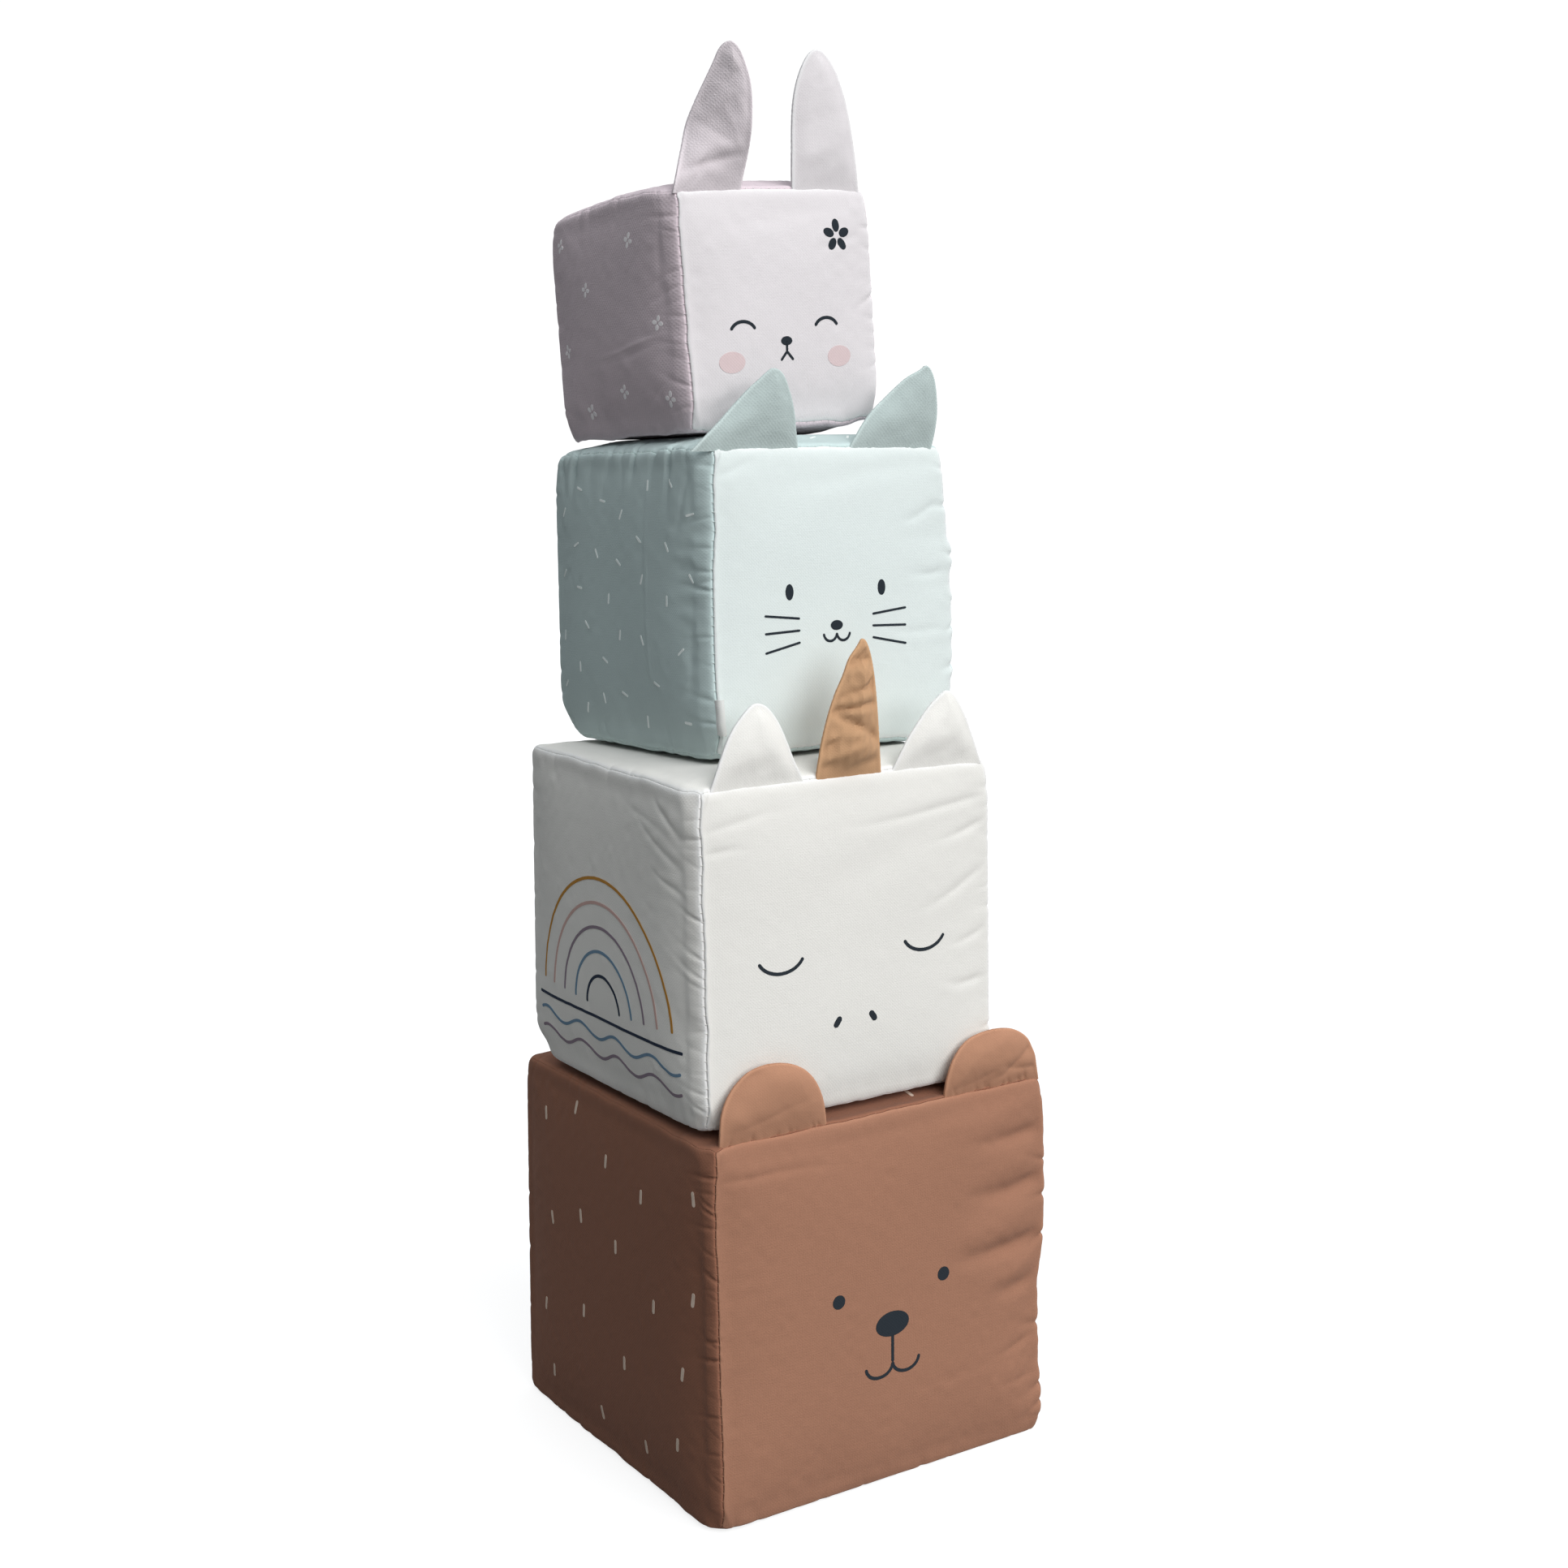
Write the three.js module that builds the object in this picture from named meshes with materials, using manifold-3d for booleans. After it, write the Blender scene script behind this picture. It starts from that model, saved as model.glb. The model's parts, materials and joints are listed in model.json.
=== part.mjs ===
// Four soft fabric blocks stacked from large to small, each a foam cube in a sewn cover with animal ears.
// Millimetres, +Z up. The origin is the middle of the resting face of the lowest block, and its printed
// front looks along -Y. Every cover has six panels that meet in mitred seams over a foam core.

import * as THREE from 'three';
import { mergeVertices } from 'three/addons/utils/BufferGeometryUtils.js';
import Module from 'manifold-3d';

const wasm = await Module();
wasm.setup();

// Cloth, seams and clearances shared by every block
const PANEL_THICKNESS = 1.2;
const EDGE_RADIUS = 4;
const SEWN_GAP = 0.3;
const STACK_GAP = 0.3;

// The lowest block: the bear
const BEAR_WIDTH = 140;
const BEAR_HEIGHT = 134;
const BEAR_SIDE_CROWN = 2.6;
const BEAR_TOP_CROWN = 3;
const BEAR_TOP_SEAT = 2.2;
const BEAR_BOTTOM_CROWN = 2;
const BEAR_BOTTOM_SEAT = 1.5;
const BEAR_EAR_WIDTH = 43;
const BEAR_EAR_HEIGHT = 26;
const BEAR_EAR_LOFT = 1.6;

// The second block: the unicorn
const UNICORN_WIDTH = 120;
const UNICORN_HEIGHT = 113;
const UNICORN_SIDE_CROWN = 2.4;
const UNICORN_TOP_CROWN = 5.7;
const UNICORN_TOP_SEAT = 4.2;
const UNICORN_BOTTOM_CROWN = 3;
const UNICORN_BOTTOM_SEAT = 2.2;
const UNICORN_SHIFT = -9.4;
const UNICORN_SETBACK = 4.3;
const UNICORN_EAR_WIDTH = 35.5;
const UNICORN_EAR_HEIGHT = 28.5;
const UNICORN_EAR_LOFT = 2.2;
const HORN_WIDTH = 26;
const HORN_HEIGHT = 47.5;
const HORN_LOFT = 5;

// The third block: the cat
const CAT_WIDTH = 100;
const CAT_HEIGHT = 100;
const CAT_SIDE_CROWN = 2.2;
const CAT_TOP_CROWN = 6.4;
const CAT_TOP_SEAT = 4.6;
const CAT_BOTTOM_CROWN = 5.8;
const CAT_BOTTOM_SEAT = 4.2;
const CAT_SHIFT = -3;
const CAT_SETBACK = 20.7;
const CAT_EAR_WIDTH = 35.5;
const CAT_EAR_HEIGHT = 29;
const CAT_EAR_LOFT = 2;
const LABEL_REACH = 8;
const LABEL_HEIGHT = 9;
const LABEL_THICKNESS = 0.8;
const LABEL_FOOT = 5;

// The top block: the bunny
const BUNNY_WIDTH = 80;
const BUNNY_HEIGHT = 76;
const BUNNY_SIDE_CROWN = 2;
const BUNNY_TOP_CROWN = 5.5;
const BUNNY_BOTTOM_CROWN = 6.6;
const BUNNY_BOTTOM_SEAT = 4.6;
const BUNNY_SHIFT = -9.7;
const BUNNY_SETBACK = 14.4;
const BUNNY_EAR_WIDTH = 28;
const BUNNY_EAR_HEIGHT = 48.5;
const BUNNY_EAR_LOFT = 2.2;

// How far each block is turned about the upright, and the top block leant
const UNICORN_TURN_DEGREES = -0.4;
const CAT_TURN_DEGREES = 2.1;
const BUNNY_TURN_DEGREES = 2.4;
const BUNNY_LEAN_DEGREES = -4;

// Shares that shape the crowns and the ears
const CROWN_FALL_SHARE = 3.2;
const SHOULDER_SHARES = [0, 0.5];
const FLAP_RING_SHARES = [1, 0.82, 0.5];
const FLAP_CENTRE_SHARE = 0.4;
const LOFT_FALL_SHARE = 2.2;
const LOFT_ROUND_SHARE = 0.8;
const FLAP_CLOTH_SHARE = 0.75;
const FLAP_SIDE_STEPS = 6;

// Steps of the grid across a panel: 0 in the middle, 1 on the shoulder, then the bend and the seam
const BEND_STEP = 2;
const SEAM_STEP = 3;
const SKIN_STEPS = [-SEAM_STEP, -BEND_STEP, -1, 0, 1, BEND_STEP, SEAM_STEP];

const DIAGONAL = Math.SQRT1_2;

// The blocks from the floor up. A seat is the height at which a crown is pressed flat by its neighbour,
// and a setback is how far a front lies behind the front of the block below.
const BLOCKS = [
  {
    name: 'bear', width: BEAR_WIDTH, height: BEAR_HEIGHT, sideCrown: BEAR_SIDE_CROWN,
    topCrown: BEAR_TOP_CROWN, topSeat: BEAR_TOP_SEAT,
    bottomCrown: BEAR_BOTTOM_CROWN, bottomSeat: BEAR_BOTTOM_SEAT,
    shift: 0, setback: 0, turn: 0, lean: 0,
    cloth: 0xa0735c, flapCloth: 0x9c6f58,
  },
  {
    name: 'unicorn', width: UNICORN_WIDTH, height: UNICORN_HEIGHT, sideCrown: UNICORN_SIDE_CROWN,
    topCrown: UNICORN_TOP_CROWN, topSeat: UNICORN_TOP_SEAT,
    bottomCrown: UNICORN_BOTTOM_CROWN, bottomSeat: UNICORN_BOTTOM_SEAT,
    shift: UNICORN_SHIFT, setback: UNICORN_SETBACK, turn: UNICORN_TURN_DEGREES, lean: 0,
    cloth: 0xe6e4e0, flapCloth: 0xe6e4e0,
  },
  {
    name: 'cat', width: CAT_WIDTH, height: CAT_HEIGHT, sideCrown: CAT_SIDE_CROWN,
    topCrown: CAT_TOP_CROWN, topSeat: CAT_TOP_SEAT,
    bottomCrown: CAT_BOTTOM_CROWN, bottomSeat: CAT_BOTTOM_SEAT,
    shift: CAT_SHIFT, setback: CAT_SETBACK, turn: CAT_TURN_DEGREES, lean: 0,
    cloth: 0xdee6e4, flapCloth: 0xc8d6d3,
  },
  {
    name: 'bunny', width: BUNNY_WIDTH, height: BUNNY_HEIGHT, sideCrown: BUNNY_SIDE_CROWN,
    topCrown: BUNNY_TOP_CROWN, topSeat: BUNNY_TOP_CROWN,
    bottomCrown: BUNNY_BOTTOM_CROWN, bottomSeat: BUNNY_BOTTOM_SEAT,
    shift: BUNNY_SHIFT, setback: BUNNY_SETBACK, turn: BUNNY_TURN_DEGREES, lean: BUNNY_LEAN_DEGREES,
    cloth: 0xe2ddde, flapCloth: 0xded9da,
  },
];

// The sewn flaps. A place is a share of half the block's width, and a tip a share of the flap's width.
const ROUND_EAR = { fullShare: 2.5, roundShare: 0.4 };
const POINTED_EAR = { fullShare: 1.5, roundShare: 0.75 };
const LONG_EAR = { fullShare: 2.8, roundShare: 0.75 };
const BEAR_EAR = {
  block: 'bear', width: BEAR_EAR_WIDTH, height: BEAR_EAR_HEIGHT, loft: BEAR_EAR_LOFT, form: ROUND_EAR,
};
const UNICORN_EAR = {
  block: 'unicorn', width: UNICORN_EAR_WIDTH, height: UNICORN_EAR_HEIGHT, loft: UNICORN_EAR_LOFT,
  form: POINTED_EAR,
};
const HORN = {
  block: 'unicorn', width: HORN_WIDTH, height: HORN_HEIGHT, loft: HORN_LOFT, form: POINTED_EAR,
  cloth: 0xb08a66,
};
const CAT_EAR = {
  block: 'cat', width: CAT_EAR_WIDTH, height: CAT_EAR_HEIGHT, loft: CAT_EAR_LOFT, form: POINTED_EAR,
};
const BUNNY_EAR = {
  block: 'bunny', width: BUNNY_EAR_WIDTH, height: BUNNY_EAR_HEIGHT, loft: BUNNY_EAR_LOFT, form: LONG_EAR,
};
const FLAPS = [
  { ...BEAR_EAR, name: 'bear_left_ear', placeShare: -0.65, tipShare: 0 },
  { ...BEAR_EAR, name: 'bear_right_ear', placeShare: 0.68, tipShare: 0.04 },
  { ...UNICORN_EAR, name: 'unicorn_left_ear', placeShare: -0.59, tipShare: 0.05 },
  { ...UNICORN_EAR, name: 'unicorn_right_ear', placeShare: 0.62, tipShare: 0.15 },
  { ...HORN, name: 'unicorn_horn', placeShare: 0.01, tipShare: 0.27 },
  { ...CAT_EAR, name: 'cat_left_ear', placeShare: -0.62, tipShare: 0.27 },
  { ...CAT_EAR, name: 'cat_right_ear', placeShare: 0.58, tipShare: 0.4 },
  { ...BUNNY_EAR, name: 'bunny_left_ear', placeShare: -0.6, tipShare: 0.4 },
  { ...BUNNY_EAR, name: 'bunny_right_ear', placeShare: 0.57, tipShare: 0.02 },
];

// Each face of a block: across, up and out are the directions of its grid, seen from outside
const X = new THREE.Vector3(1, 0, 0);
const Y = new THREE.Vector3(0, 1, 0);
const Z = new THREE.Vector3(0, 0, 1);
const FACES = [
  { name: 'front', across: X, up: Z, out: Y.clone().negate() },
  { name: 'back', across: X.clone().negate(), up: Z, out: Y },
  { name: 'left', across: Y.clone().negate(), up: Z, out: X.clone().negate() },
  { name: 'right', across: Y, up: Z, out: X },
  { name: 'top', across: X, up: Y, out: Z },
  { name: 'bottom', across: X, up: Y.clone().negate(), out: Z.clone().negate() },
];

const colours = { foam: 0xeae6d2, wadding: 0xf4f3ef, label: 0xf2f2f0 };

function clothMaterial(colour) {
  return new THREE.MeshStandardMaterial({ color: colour, roughness: 0.92, metalness: 0 });
}

function namedMesh(name, geometry, colour) {
  geometry.computeVertexNormals();
  const mesh = new THREE.Mesh(geometry, clothMaterial(colour));
  mesh.name = name;
  return mesh;
}

function meshGeometry(points, triangles) {
  const geometry = new THREE.BufferGeometry();
  const positions = points.flatMap((point) => point.toArray());
  geometry.setAttribute('position', new THREE.Float32BufferAttribute(positions, 3));
  geometry.setIndex(triangles);
  return geometry;
}

// Half the size of a block along one of its directions
function halfSize(block, direction) {
  const size = direction.z === 0 ? block.width : block.height;
  return size / 2;
}

// A skin is a surface that follows the block at one depth: where it lies at the bends and the seams.
// Reach is measured across the face from the middle of the rounded edge, and rise out of the face.
function clothSkin(depth) {
  const seam = (EDGE_RADIUS - depth) * DIAGONAL;
  return { depth, bendReach: 0, seamReach: seam - SEWN_GAP * DIAGONAL, seamRise: seam };
}

// The foam core stops short of the seam binding, in a square notch along every edge
function coreSkin() {
  const depth = PANEL_THICKNESS + SEWN_GAP;
  return { depth, bendReach: -SEWN_GAP, seamReach: -SEWN_GAP, seamRise: -SEWN_GAP };
}

function stepPlace(step, half, skin) {
  const side = Math.sign(step);
  const count = Math.abs(step);
  const edge = half - EDGE_RADIUS;
  if (count === SEAM_STEP) return side * (edge + skin.seamReach);
  if (count === BEND_STEP) return side * (edge + skin.bendReach);
  return side * half * SHOULDER_SHARES[count];
}

// How far a crown has fallen from its top, going from the middle of a face to its bend
function crownShare(place, half) {
  const share = Math.abs(place) / (half - EDGE_RADIUS);
  return 1 - share ** CROWN_FALL_SHARE;
}

// The height at which the face is pressed flat. A leaning block's foot stays level on the block below.
function seatHeight(block, face, place) {
  if (face.name === 'top') return block.topSeat;
  if (face.name !== 'bottom') return block.sideCrown;
  const lean = THREE.MathUtils.degToRad(block.lean);
  return (block.bottomSeat - Math.sin(lean) * place) / Math.cos(lean);
}

function faceCrown(block, face) {
  if (face.name === 'top') return block.topCrown;
  if (face.name === 'bottom') return block.bottomCrown;
  return block.sideCrown;
}

function skinPoint(block, face, acrossStep, upStep, skin) {
  const acrossHalf = halfSize(block, face.across);
  const upHalf = halfSize(block, face.up);
  const outHalf = halfSize(block, face.out);
  const across = stepPlace(acrossStep, acrossHalf, skin);
  const up = stepPlace(upStep, upHalf, skin);
  const furthest = Math.max(Math.abs(acrossStep), Math.abs(upStep));
  let out = outHalf - skin.depth;
  if (furthest === SEAM_STEP) out = outHalf - EDGE_RADIUS + skin.seamRise;
  if (furthest < BEND_STEP) {
    const crown = faceCrown(block, face) * crownShare(across, acrossHalf) * crownShare(up, upHalf);
    out += Math.min(crown, seatHeight(block, face, across));
  }
  return new THREE.Vector3()
    .addScaledVector(face.across, across)
    .addScaledVector(face.up, up)
    .addScaledVector(face.out, out);
}

function skinGrid(block, face, skin) {
  return SKIN_STEPS.flatMap((up) => SKIN_STEPS.map((across) => skinPoint(block, face, across, up, skin)));
}

// The triangles of one grid. Each cell is split along the diagonal that runs towards its nearest corner.
function gridTriangles(first, turnedIn) {
  const side = SKIN_STEPS.length;
  const triangles = [];
  for (let row = 0; row < side - 1; row += 1) {
    for (let column = 0; column < side - 1; column += 1) {
      const a = first + row * side + column;
      const b = a + 1;
      const c = b + side;
      const d = a + side;
      const sameSign = (SKIN_STEPS[row] < 0) === (SKIN_STEPS[column] < 0);
      const pair = sameSign ? [[a, b, c], [a, c, d]] : [[a, b, d], [b, c, d]];
      pair.forEach((triangle) => triangles.push(...(turnedIn ? triangle.reverse() : triangle)));
    }
  }
  return triangles;
}

// The grid points round a panel's edge, in order as seen from outside
function gridRim() {
  const side = SKIN_STEPS.length;
  const last = side - 1;
  const rim = [];
  for (let step = 0; step < last; step += 1) rim.push(step);
  for (let step = 0; step < last; step += 1) rim.push(step * side + last);
  for (let step = 0; step < last; step += 1) rim.push(last * side + last - step);
  for (let step = 0; step < last; step += 1) rim.push((last - step) * side);
  return rim;
}

// Walls that join an outer ring of points to the inner ring that starts at a later point
function rimTriangles(rim, innerFirst) {
  return rim.flatMap((start, order) => {
    const end = rim[(order + 1) % rim.length];
    return [start, start + innerFirst, end + innerFirst, start, end + innerFirst, end];
  });
}

function panelGeometry(block, face) {
  const outer = skinGrid(block, face, clothSkin(0));
  const inner = skinGrid(block, face, clothSkin(PANEL_THICKNESS));
  const triangles = [
    ...gridTriangles(0, false),
    ...gridTriangles(outer.length, true),
    ...rimTriangles(gridRim(), outer.length),
  ];
  return meshGeometry([...outer, ...inner], triangles);
}

// Points closer than this are one point
const MERGE_REACH = SEWN_GAP / 10;

// Triangles whose points have merged into fewer than three are left out
function withoutSlivers(geometry) {
  const index = geometry.getIndex().array;
  const kept = [];
  for (let first = 0; first < index.length; first += 3) {
    const [a, b, c] = index.slice(first, first + 3);
    if (a !== b && b !== c && c !== a) kept.push(a, b, c);
  }
  geometry.setIndex(kept);
  return geometry;
}

function coreGeometry(block) {
  const grids = FACES.map((face) => skinGrid(block, face, coreSkin()));
  const triangles = grids.flatMap((grid, order) => gridTriangles(order * grid.length, false));
  return withoutSlivers(mergeVertices(meshGeometry(grids.flat(), triangles), MERGE_REACH));
}

function solidOf(geometry) {
  geometry.deleteAttribute('normal');
  geometry.deleteAttribute('uv');
  const merged = mergeVertices(geometry);
  return new wasm.Manifold(new wasm.Mesh({
    numProp: 3,
    vertProperties: new Float32Array(merged.getAttribute('position').array),
    triVerts: new Uint32Array(merged.getIndex().array),
  }));
}

function geometryOf(solid) {
  const mesh = solid.getMesh();
  const geometry = new THREE.BufferGeometry();
  geometry.setAttribute('position', new THREE.Float32BufferAttribute(mesh.vertProperties, 3));
  geometry.setIndex(Array.from(mesh.triVerts));
  return geometry;
}

// The bound seam edges inside a cover: a square bar along each of the twelve edges, joined at the corners
function bindingGeometry(block) {
  const bar = (EDGE_RADIUS - PANEL_THICKNESS) * DIAGONAL - SEWN_GAP;
  const sizes = [block.width, block.width, block.height].map((size) => size - 2 * EDGE_RADIUS + 2 * bar);
  let frame = null;
  for (const along of [0, 1, 2]) {
    const [first, second] = [0, 1, 2].filter((axis) => axis !== along);
    for (const firstSide of [-1, 1]) {
      for (const secondSide of [-1, 1]) {
        const size = [bar, bar, bar];
        size[along] = sizes[along];
        const place = [0, 0, 0];
        place[first] = firstSide * (sizes[first] - bar) / 2;
        place[second] = secondSide * (sizes[second] - bar) / 2;
        const geometry = new THREE.BoxGeometry(...size).translate(...place);
        const solid = solidOf(geometry);
        frame = frame ? frame.add(solid) : solid;
      }
    }
  }
  return geometryOf(frame);
}

// What is sewn into a seam starts this far inside the block's sharp corner. The root of a flap swings
// about that corner, clear of the rounded seam at any angle.
const ROOT_RADIUS = (Math.SQRT2 - 1) * EDGE_RADIUS - SEWN_GAP;
const FLAP_THICKNESS = ROOT_RADIUS * FLAP_CLOTH_SHARE;
const ROOT_DROP = Math.sqrt(ROOT_RADIUS ** 2 - (SEWN_GAP / 2 + FLAP_THICKNESS) ** 2);

// The outline of a flap in its own plane, from the right end of its root over the tip to the left end
function flapOutline(flap) {
  const rise = flap.height + ROOT_DROP;
  const edge = (side, order) => {
    const share = Math.sin((order / FLAP_SIDE_STEPS) * (Math.PI / 2));
    const half = (flap.width / 2) * Math.max(0, 1 - share ** flap.form.fullShare) ** flap.form.roundShare;
    return new THREE.Vector2(flap.width * flap.tipShare * share + side * half, rise * share - ROOT_DROP);
  };
  const steps = [...Array(FLAP_SIDE_STEPS).keys()];
  const right = steps.map((order) => edge(1, order));
  const left = steps.map((order) => edge(-1, order)).reverse();
  return [...right, edge(1, FLAP_SIDE_STEPS), ...left];
}

// How much the filling lifts the cloth at a share of the way from the middle of a flap to its edge
function loftHeight(flap, share) {
  return flap.loft * (1 - share ** LOFT_FALL_SHARE) ** LOFT_ROUND_SHARE;
}

// One layer of a flap: rings of its outline at two heights, closed by a rim. Heights run towards -Y.
function layerGeometry(flap, shares, frontHeight, backHeight) {
  const outline = flapOutline(flap);
  const centre = new THREE.Vector2(flap.width * flap.tipShare, flap.height).multiplyScalar(FLAP_CENTRE_SHARE);
  const count = outline.length;
  const surface = (height) => {
    const rings = shares.flatMap((share) => outline.map((point) => {
      const place = centre.clone().lerp(point, share);
      return new THREE.Vector3(place.x, -height(share), place.y);
    }));
    return [...rings, new THREE.Vector3(centre.x, -height(0), centre.y)];
  };
  const front = surface(frontHeight);
  const back = surface(backHeight);
  const middle = front.length - 1;
  const triangles = [];
  for (let point = 0; point < count; point += 1) {
    const next = (point + 1) % count;
    for (let ring = 0; ring < shares.length - 1; ring += 1) {
      const here = ring * count;
      const inside = here + count;
      triangles.push(here + point, here + next, inside + next);
      triangles.push(here + point, inside + next, inside + point);
    }
    const lastRing = (shares.length - 1) * count;
    triangles.push(lastRing + point, lastRing + next, middle);
  }
  const backTriangles = triangles.map((index) => index + front.length).reverse();
  const rim = rimTriangles([...Array(count).keys()], front.length);
  return meshGeometry([...front, ...back], [...triangles, ...backTriangles, ...rim]);
}

function flapGroup(flap, block) {
  const group = new THREE.Group();
  group.position.set((flap.placeShare * block.width) / 2, -block.width / 2, block.height / 2);
  const lining = (share) => SEWN_GAP / 2 + loftHeight(flap, share);
  const outside = (share) => lining(share) + FLAP_THICKNESS;
  const filling = (share) => lining(share) - SEWN_GAP;
  const cloth = flap.cloth ?? block.flapCloth;
  const layer = (name, shares, front, back, colour) => {
    group.add(namedMesh(`${flap.name}_${name}`, layerGeometry(flap, shares, front, back), colour));
  };
  layer('front', FLAP_RING_SHARES, outside, lining, cloth);
  layer('back', FLAP_RING_SHARES, (share) => -lining(share), (share) => -outside(share), cloth);
  layer('wadding', FLAP_RING_SHARES.slice(1), filling, (share) => -filling(share), colours.wadding);
  return group;
}

// A small blank folded label that stands out of the front left seam
function labelMesh(block) {
  const geometry = new THREE.BoxGeometry(ROOT_RADIUS + LABEL_REACH, LABEL_THICKNESS, LABEL_HEIGHT);
  const mesh = namedMesh('cat_label_tag', geometry, colours.label);
  const corner = -block.width / 2 - ((LABEL_REACH - ROOT_RADIUS) / 2) * DIAGONAL;
  mesh.position.set(corner, corner, LABEL_FOOT + (LABEL_HEIGHT - block.height) / 2);
  mesh.rotation.z = Math.PI / 4;
  return mesh;
}

function blockGroup(block, front, footHeight) {
  const group = new THREE.Group();
  group.position.set(block.shift, front + block.width / 2, footHeight);
  const lean = THREE.MathUtils.degToRad(block.lean);
  const turn = THREE.MathUtils.degToRad(block.turn);
  group.rotation.set(0, lean, turn, 'ZYX');
  const body = new THREE.Group();
  body.position.z = block.height / 2;
  group.add(body);
  body.add(namedMesh(`${block.name}_foam_core`, coreGeometry(block), colours.foam));
  for (const face of FACES) {
    body.add(namedMesh(`${block.name}_${face.name}_panel`, panelGeometry(block, face), block.cloth));
  }
  body.add(namedMesh(`${block.name}_seam_binding`, bindingGeometry(block), block.cloth));
  for (const flap of FLAPS.filter((each) => each.block === block.name)) body.add(flapGroup(flap, block));
  if (block.name === 'cat') body.add(labelMesh(block));
  return group;
}

function stack() {
  const group = new THREE.Group();
  let front = -BEAR_WIDTH / 2;
  let footHeight = 0;
  for (const block of BLOCKS) {
    front += block.setback;
    footHeight += block.bottomSeat;
    group.add(blockGroup(block, front, footHeight));
    footHeight += block.height + block.topSeat + STACK_GAP;
  }
  return group;
}

export default stack();
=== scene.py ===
# Four soft fabric blocks stacked as a tower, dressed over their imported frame.
# Every length here is in millimetres until a mesh is made.

import json
import math
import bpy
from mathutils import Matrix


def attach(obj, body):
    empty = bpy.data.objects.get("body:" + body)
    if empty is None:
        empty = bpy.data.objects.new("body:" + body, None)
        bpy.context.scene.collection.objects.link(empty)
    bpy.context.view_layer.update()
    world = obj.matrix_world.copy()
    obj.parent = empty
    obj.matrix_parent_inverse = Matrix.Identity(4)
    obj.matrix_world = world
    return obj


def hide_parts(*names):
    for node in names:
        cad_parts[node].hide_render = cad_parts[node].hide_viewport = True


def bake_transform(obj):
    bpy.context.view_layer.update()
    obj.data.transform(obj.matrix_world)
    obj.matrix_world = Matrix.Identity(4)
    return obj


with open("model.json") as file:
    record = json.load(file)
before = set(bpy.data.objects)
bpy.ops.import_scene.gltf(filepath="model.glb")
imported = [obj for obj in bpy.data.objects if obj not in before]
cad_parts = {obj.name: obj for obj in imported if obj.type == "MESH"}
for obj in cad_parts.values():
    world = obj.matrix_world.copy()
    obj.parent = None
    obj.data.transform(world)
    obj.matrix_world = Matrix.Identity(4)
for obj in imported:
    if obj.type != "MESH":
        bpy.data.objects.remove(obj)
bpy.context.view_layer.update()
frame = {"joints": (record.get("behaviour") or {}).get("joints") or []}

import zlib
from itertools import product
from types import SimpleNamespace

import bpy
import numpy as np
from mathutils import Matrix, Vector

MM = 0.001
CAMERA_PLACE = (-370.4, -602.9, 348.7)

# Sizes that every block shares
EDGE_RADIUS = 4
CLOTH = 1.0
STACK_GAP = 0.3
CROWN_FALL = 3.2
FULL_CROWNS = {
    ("unicorn", "top"): 7, ("unicorn", "bottom"): 5, ("cat", "bottom"): 6, ("cat", "top"): 5,
    ("bunny", "bottom"): 5, ("bear", "top"): 5,
}
QUARTER = math.pi / 4

# The blocks from the floor up. A seat is the height at which a crown is pressed flat by its neighbour,
# a setback is how far a front lies behind the front of the block below, turn and lean are in degrees.
BLOCKS = {
    "bear": dict(
        width=140, height=134, side_crown=2.6, top_crown=3, top_seat=2.2,
        bottom_crown=2, bottom_seat=1.5, shift=0, setback=0, turn=0, lean=0,
    ),
    "unicorn": dict(
        width=120, height=113, side_crown=2.4, top_crown=5.7, top_seat=4.2,
        bottom_crown=3, bottom_seat=2.2, shift=-9.4, setback=4.3, turn=-0.4, lean=0,
    ),
    "cat": dict(
        width=100, height=100, side_crown=2.2, top_crown=6.4, top_seat=4.6,
        bottom_crown=5.8, bottom_seat=4.2, shift=-3, setback=20.7, turn=2.1, lean=0,
    ),
    "bunny": dict(
        width=80, height=76, side_crown=2, top_crown=5.5, top_seat=9,
        bottom_crown=6.6, bottom_seat=4.6, shift=-9.7, setback=14.4, turn=2.4, lean=-4,
    ),
}

# Each face of a block: the directions across it, up it and out of it, seen from outside
FACES = {
    "front": ((1, 0, 0), (0, 0, 1), (0, -1, 0)),
    "back": ((-1, 0, 0), (0, 0, 1), (0, 1, 0)),
    "left": ((0, -1, 0), (0, 0, 1), (-1, 0, 0)),
    "right": ((0, 1, 0), (0, 0, 1), (1, 0, 0)),
    "top": ((1, 0, 0), (0, 1, 0), (0, 0, 1)),
    "bottom": ((1, 0, 0), (0, -1, 0), (0, 0, -1)),
}
FACE_TOWARDS = {out: face for face, (_, _, out) in FACES.items()}

# Distances from a seam of the first lines of a panel's grid, and the step of the lines further in
SEAM_LINES = np.array([0.03, 0.1, 0.2, 0.34, 0.52, 0.75, 1.05, 1.4, 1.8, 2.3, 2.9, 3.6, 4.4])
LINE_STEP = 0.8
FINE_STEPS = {"left": (1.0, 0.45), "right": (1.0, 0.8), "back": (1.2, 1.2), "bottom": (1.2, 1.2)}
COARSE_STEP = 6

# The gentle unevenness of a panel: the height and length of its waves. It fades towards the seams, as the
# folds do, and what runs along a seam fades before its corners. The edges are paler over a narrow strip:
# partly wear, partly a painted highlight on the ridges beside the seams.
UNEVEN = ((0.3, 42), (0.07, 15))
SEAM_HOLD = 5
CORNER_FADE = (0.5, 7)
WEAR_AND_HIGHLIGHT_WIDTH = 1.1

# The seam: the cloth curls in at the stitches and stands up as a narrow ridge on either side.
# Seams that are pulled less tight have a shallower groove.
CURL, CURL_DEPTH = 0.5, 0.4
SEAM_DEPTHS = {
    ("front", "left"): 1.8, ("left", "top"): 0.25, ("front", "bottom"): 0.3, ("left", "bottom"): 0.3,
}
RIDGE = 0.45
RIDGE_FALL = 1.8

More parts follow.
